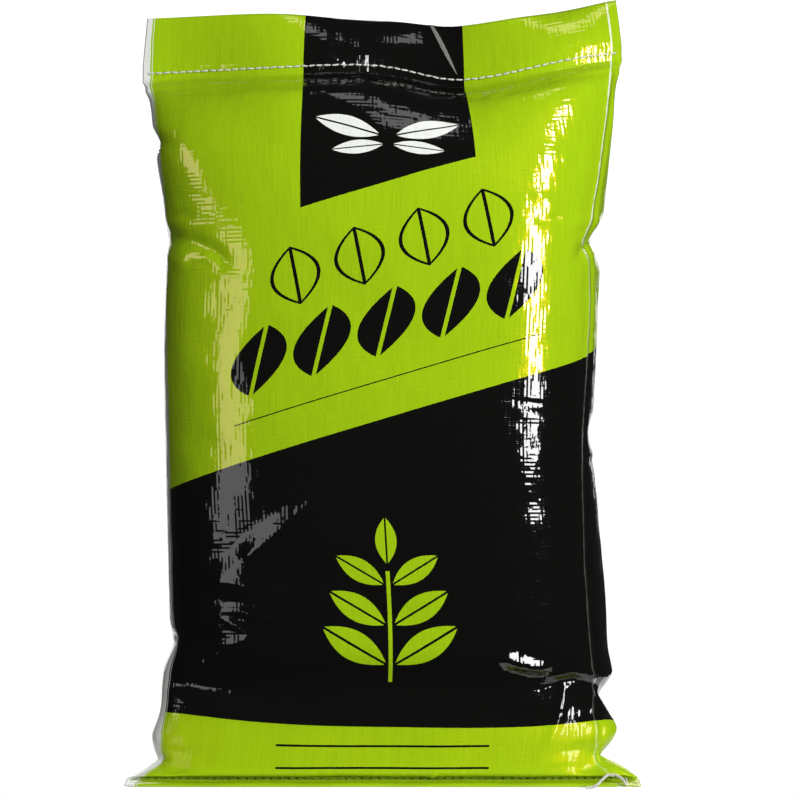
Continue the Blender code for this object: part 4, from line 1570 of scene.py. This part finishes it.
@dataclass
class Studio:
    """The camera, the paper sweep and the softboxes."""

    eye: tuple = (0.0172, -2.6, 0.66)
    down_degrees: float = 6.24
    lens_mm: float = 117.0
    sensor_mm: float = 36.0
    world: float = 0.02
    # The white that the gloss mirrors starts this far back, as the part of a direction that points away
    behind: float = 0.85
    floor_white: float = 1.18
    wall_white: float = 1.35
    near_half: float = 0.3
    far_half: float = 1.3
    wall_back: float = 3.5
    wall_height: float = 3.0
    floor_front: float = -0.118

    def set_camera(self) -> None:
        """Puts the camera where the photograph was taken from."""
        data = bpy.data.cameras.new("studio_camera")
        data.lens, data.sensor_width = self.lens_mm, self.sensor_mm
        camera = bpy.data.objects.new("studio_camera", data)
        camera.location = self.eye
        camera.rotation_euler = (math.radians(90 - self.down_degrees), 0, 0)
        bpy.context.scene.collection.objects.link(camera)
        bpy.context.scene.camera = camera

    def softboxes(self) -> tuple:
        """The lamps: two at the right for the long highlight, two at the left for the slanting band, and fills."""
        return (
            Softbox(Lamp.RIGHT_UPPER, (1.12, -1.42, 1.07), (0.10, -0.08, 0.60), 0.15, 0.62, 7.5),
            Softbox(Lamp.RIGHT_LOWER, (1.12, -1.42, 0.41), (0.10, -0.08, 0.40), 0.30, 0.70, 16),
            Softbox(Lamp.LEFT_UPPER, (-1.93, -0.90, 0.94), (-0.15, -0.08, 0.62), 0.66, 0.56, 2.7),
            Softbox(Lamp.LEFT_LOWER, (-1.367, -1.385, 0.13), (-0.15, -0.08, 0.40), 0.58, 0.98, 4.1),
            Softbox(Lamp.OVERHEAD, (0.32, -0.59, 2.39), (0.0, -0.10, 0.69), 0.45, 0.45, 1.4),
            Softbox(Lamp.FRONT_FILL, (0.85, -2.05, 1.90), (0.0, 0.0, 0.45), 0.9, 0.9, 43, False),
            Softbox(Lamp.LEFT_BACK, (-1.1, 2.2, 1.4), (0.0, 0.0, 0.40), 1.0, 1.2, 22),
            Softbox(Lamp.RIGHT_BACK, (1.1, 2.2, 1.4), (0.0, 0.0, 0.40), 1.0, 1.2, 22),
        )

    def sweep(self) -> tuple:
        """The paper floor and the paper wall behind."""
        made = []
        near, far, back = self.near_half, self.far_half, self.wall_back
        front_edge = ((-near, self.floor_front, 0), (near, self.floor_front, 0))
        wall_top = ((far, back, self.wall_height), (-far, back, self.wall_height))
        for name, corners, white in (
            ("floor_paper", (*front_edge, (far, back, 0), (-far, back, 0)), self.floor_white),
            ("wall_paper", ((-far, back, 0), (far, back, 0), *wall_top), self.wall_white),
        ):
            mesh = bpy.data.meshes.new(name)
            mesh.from_pydata(corners, [], [(0, 1, 2, 3)])
            mesh.materials.append(StudioPaper(name, white).build())
            sheet = bpy.data.objects.new(name, mesh)
            bpy.context.scene.collection.objects.link(sheet)
            made.append(sheet)
        return tuple(made)

    def set_world(self) -> None:
        """A dark room that the lens sees as white, and that gloss and clear film see as white behind the sack."""
        world = bpy.data.worlds.new("studio_world")
        world.use_nodes = True
        world.node_tree.nodes.clear()
        add = partial(add_node, world.node_tree)
        ray = add("LightPath").outputs
        away = add("SeparateXYZ", (add("TexCoord").outputs["Generated"],)).outputs[1]
        behind = add("Math", (away, self.behind), operation="GREATER_THAN")
        shiny = add("Math", (ray["Is Glossy Ray"], ray["Is Transmission Ray"]), operation="MAXIMUM")
        shiny = add("Math", (shiny, behind), operation="MULTIPLY")
        seen = add("Math", (ray["Is Camera Ray"], shiny), operation="MAXIMUM")
        strength = add("Mix", {0: seen, 2: self.world, 3: 1.0})
        add("OutputWorld", {"Surface": add("Background", {"Color": linear("#FFFFFF"), "Strength": strength})})
        bpy.context.scene.world = world

    def build(self) -> None:
        """Sets up the room and its lamps."""
        self.sweep()
        self.set_world()
        for softbox in self.softboxes():
            softbox.build()
        bpy.context.scene.view_settings.view_transform = "Standard"


def main() -> None:
    """Builds the camera and the cord first, then the sack, its seams and the studio."""
    logging.basicConfig(level=logging.INFO, format="%(message)s", stream=sys.stdout)
    studio = Studio()
    studio.set_camera()
    thread = SpunPolyester().build()
    ThreadTail().build(thread)
    form = SackForm()
    film = FilmSurface(form)
    film.build(PrintedWovenSack().build(form))
    # The hem's thread is coloured a darker lime: a little dirt, and painted shade of the crease that it lies in
    dirt_and_shade = SpunPolyester("#86A01E", "#5D7414", "hem_thread_dirt_and_painted_shade").build()
    ClosingSeams().build(film, thread, dirt_and_shade)
    LooseFibres().build(film, thread)
    studio.build()


if __name__ == "__main__":
    main()
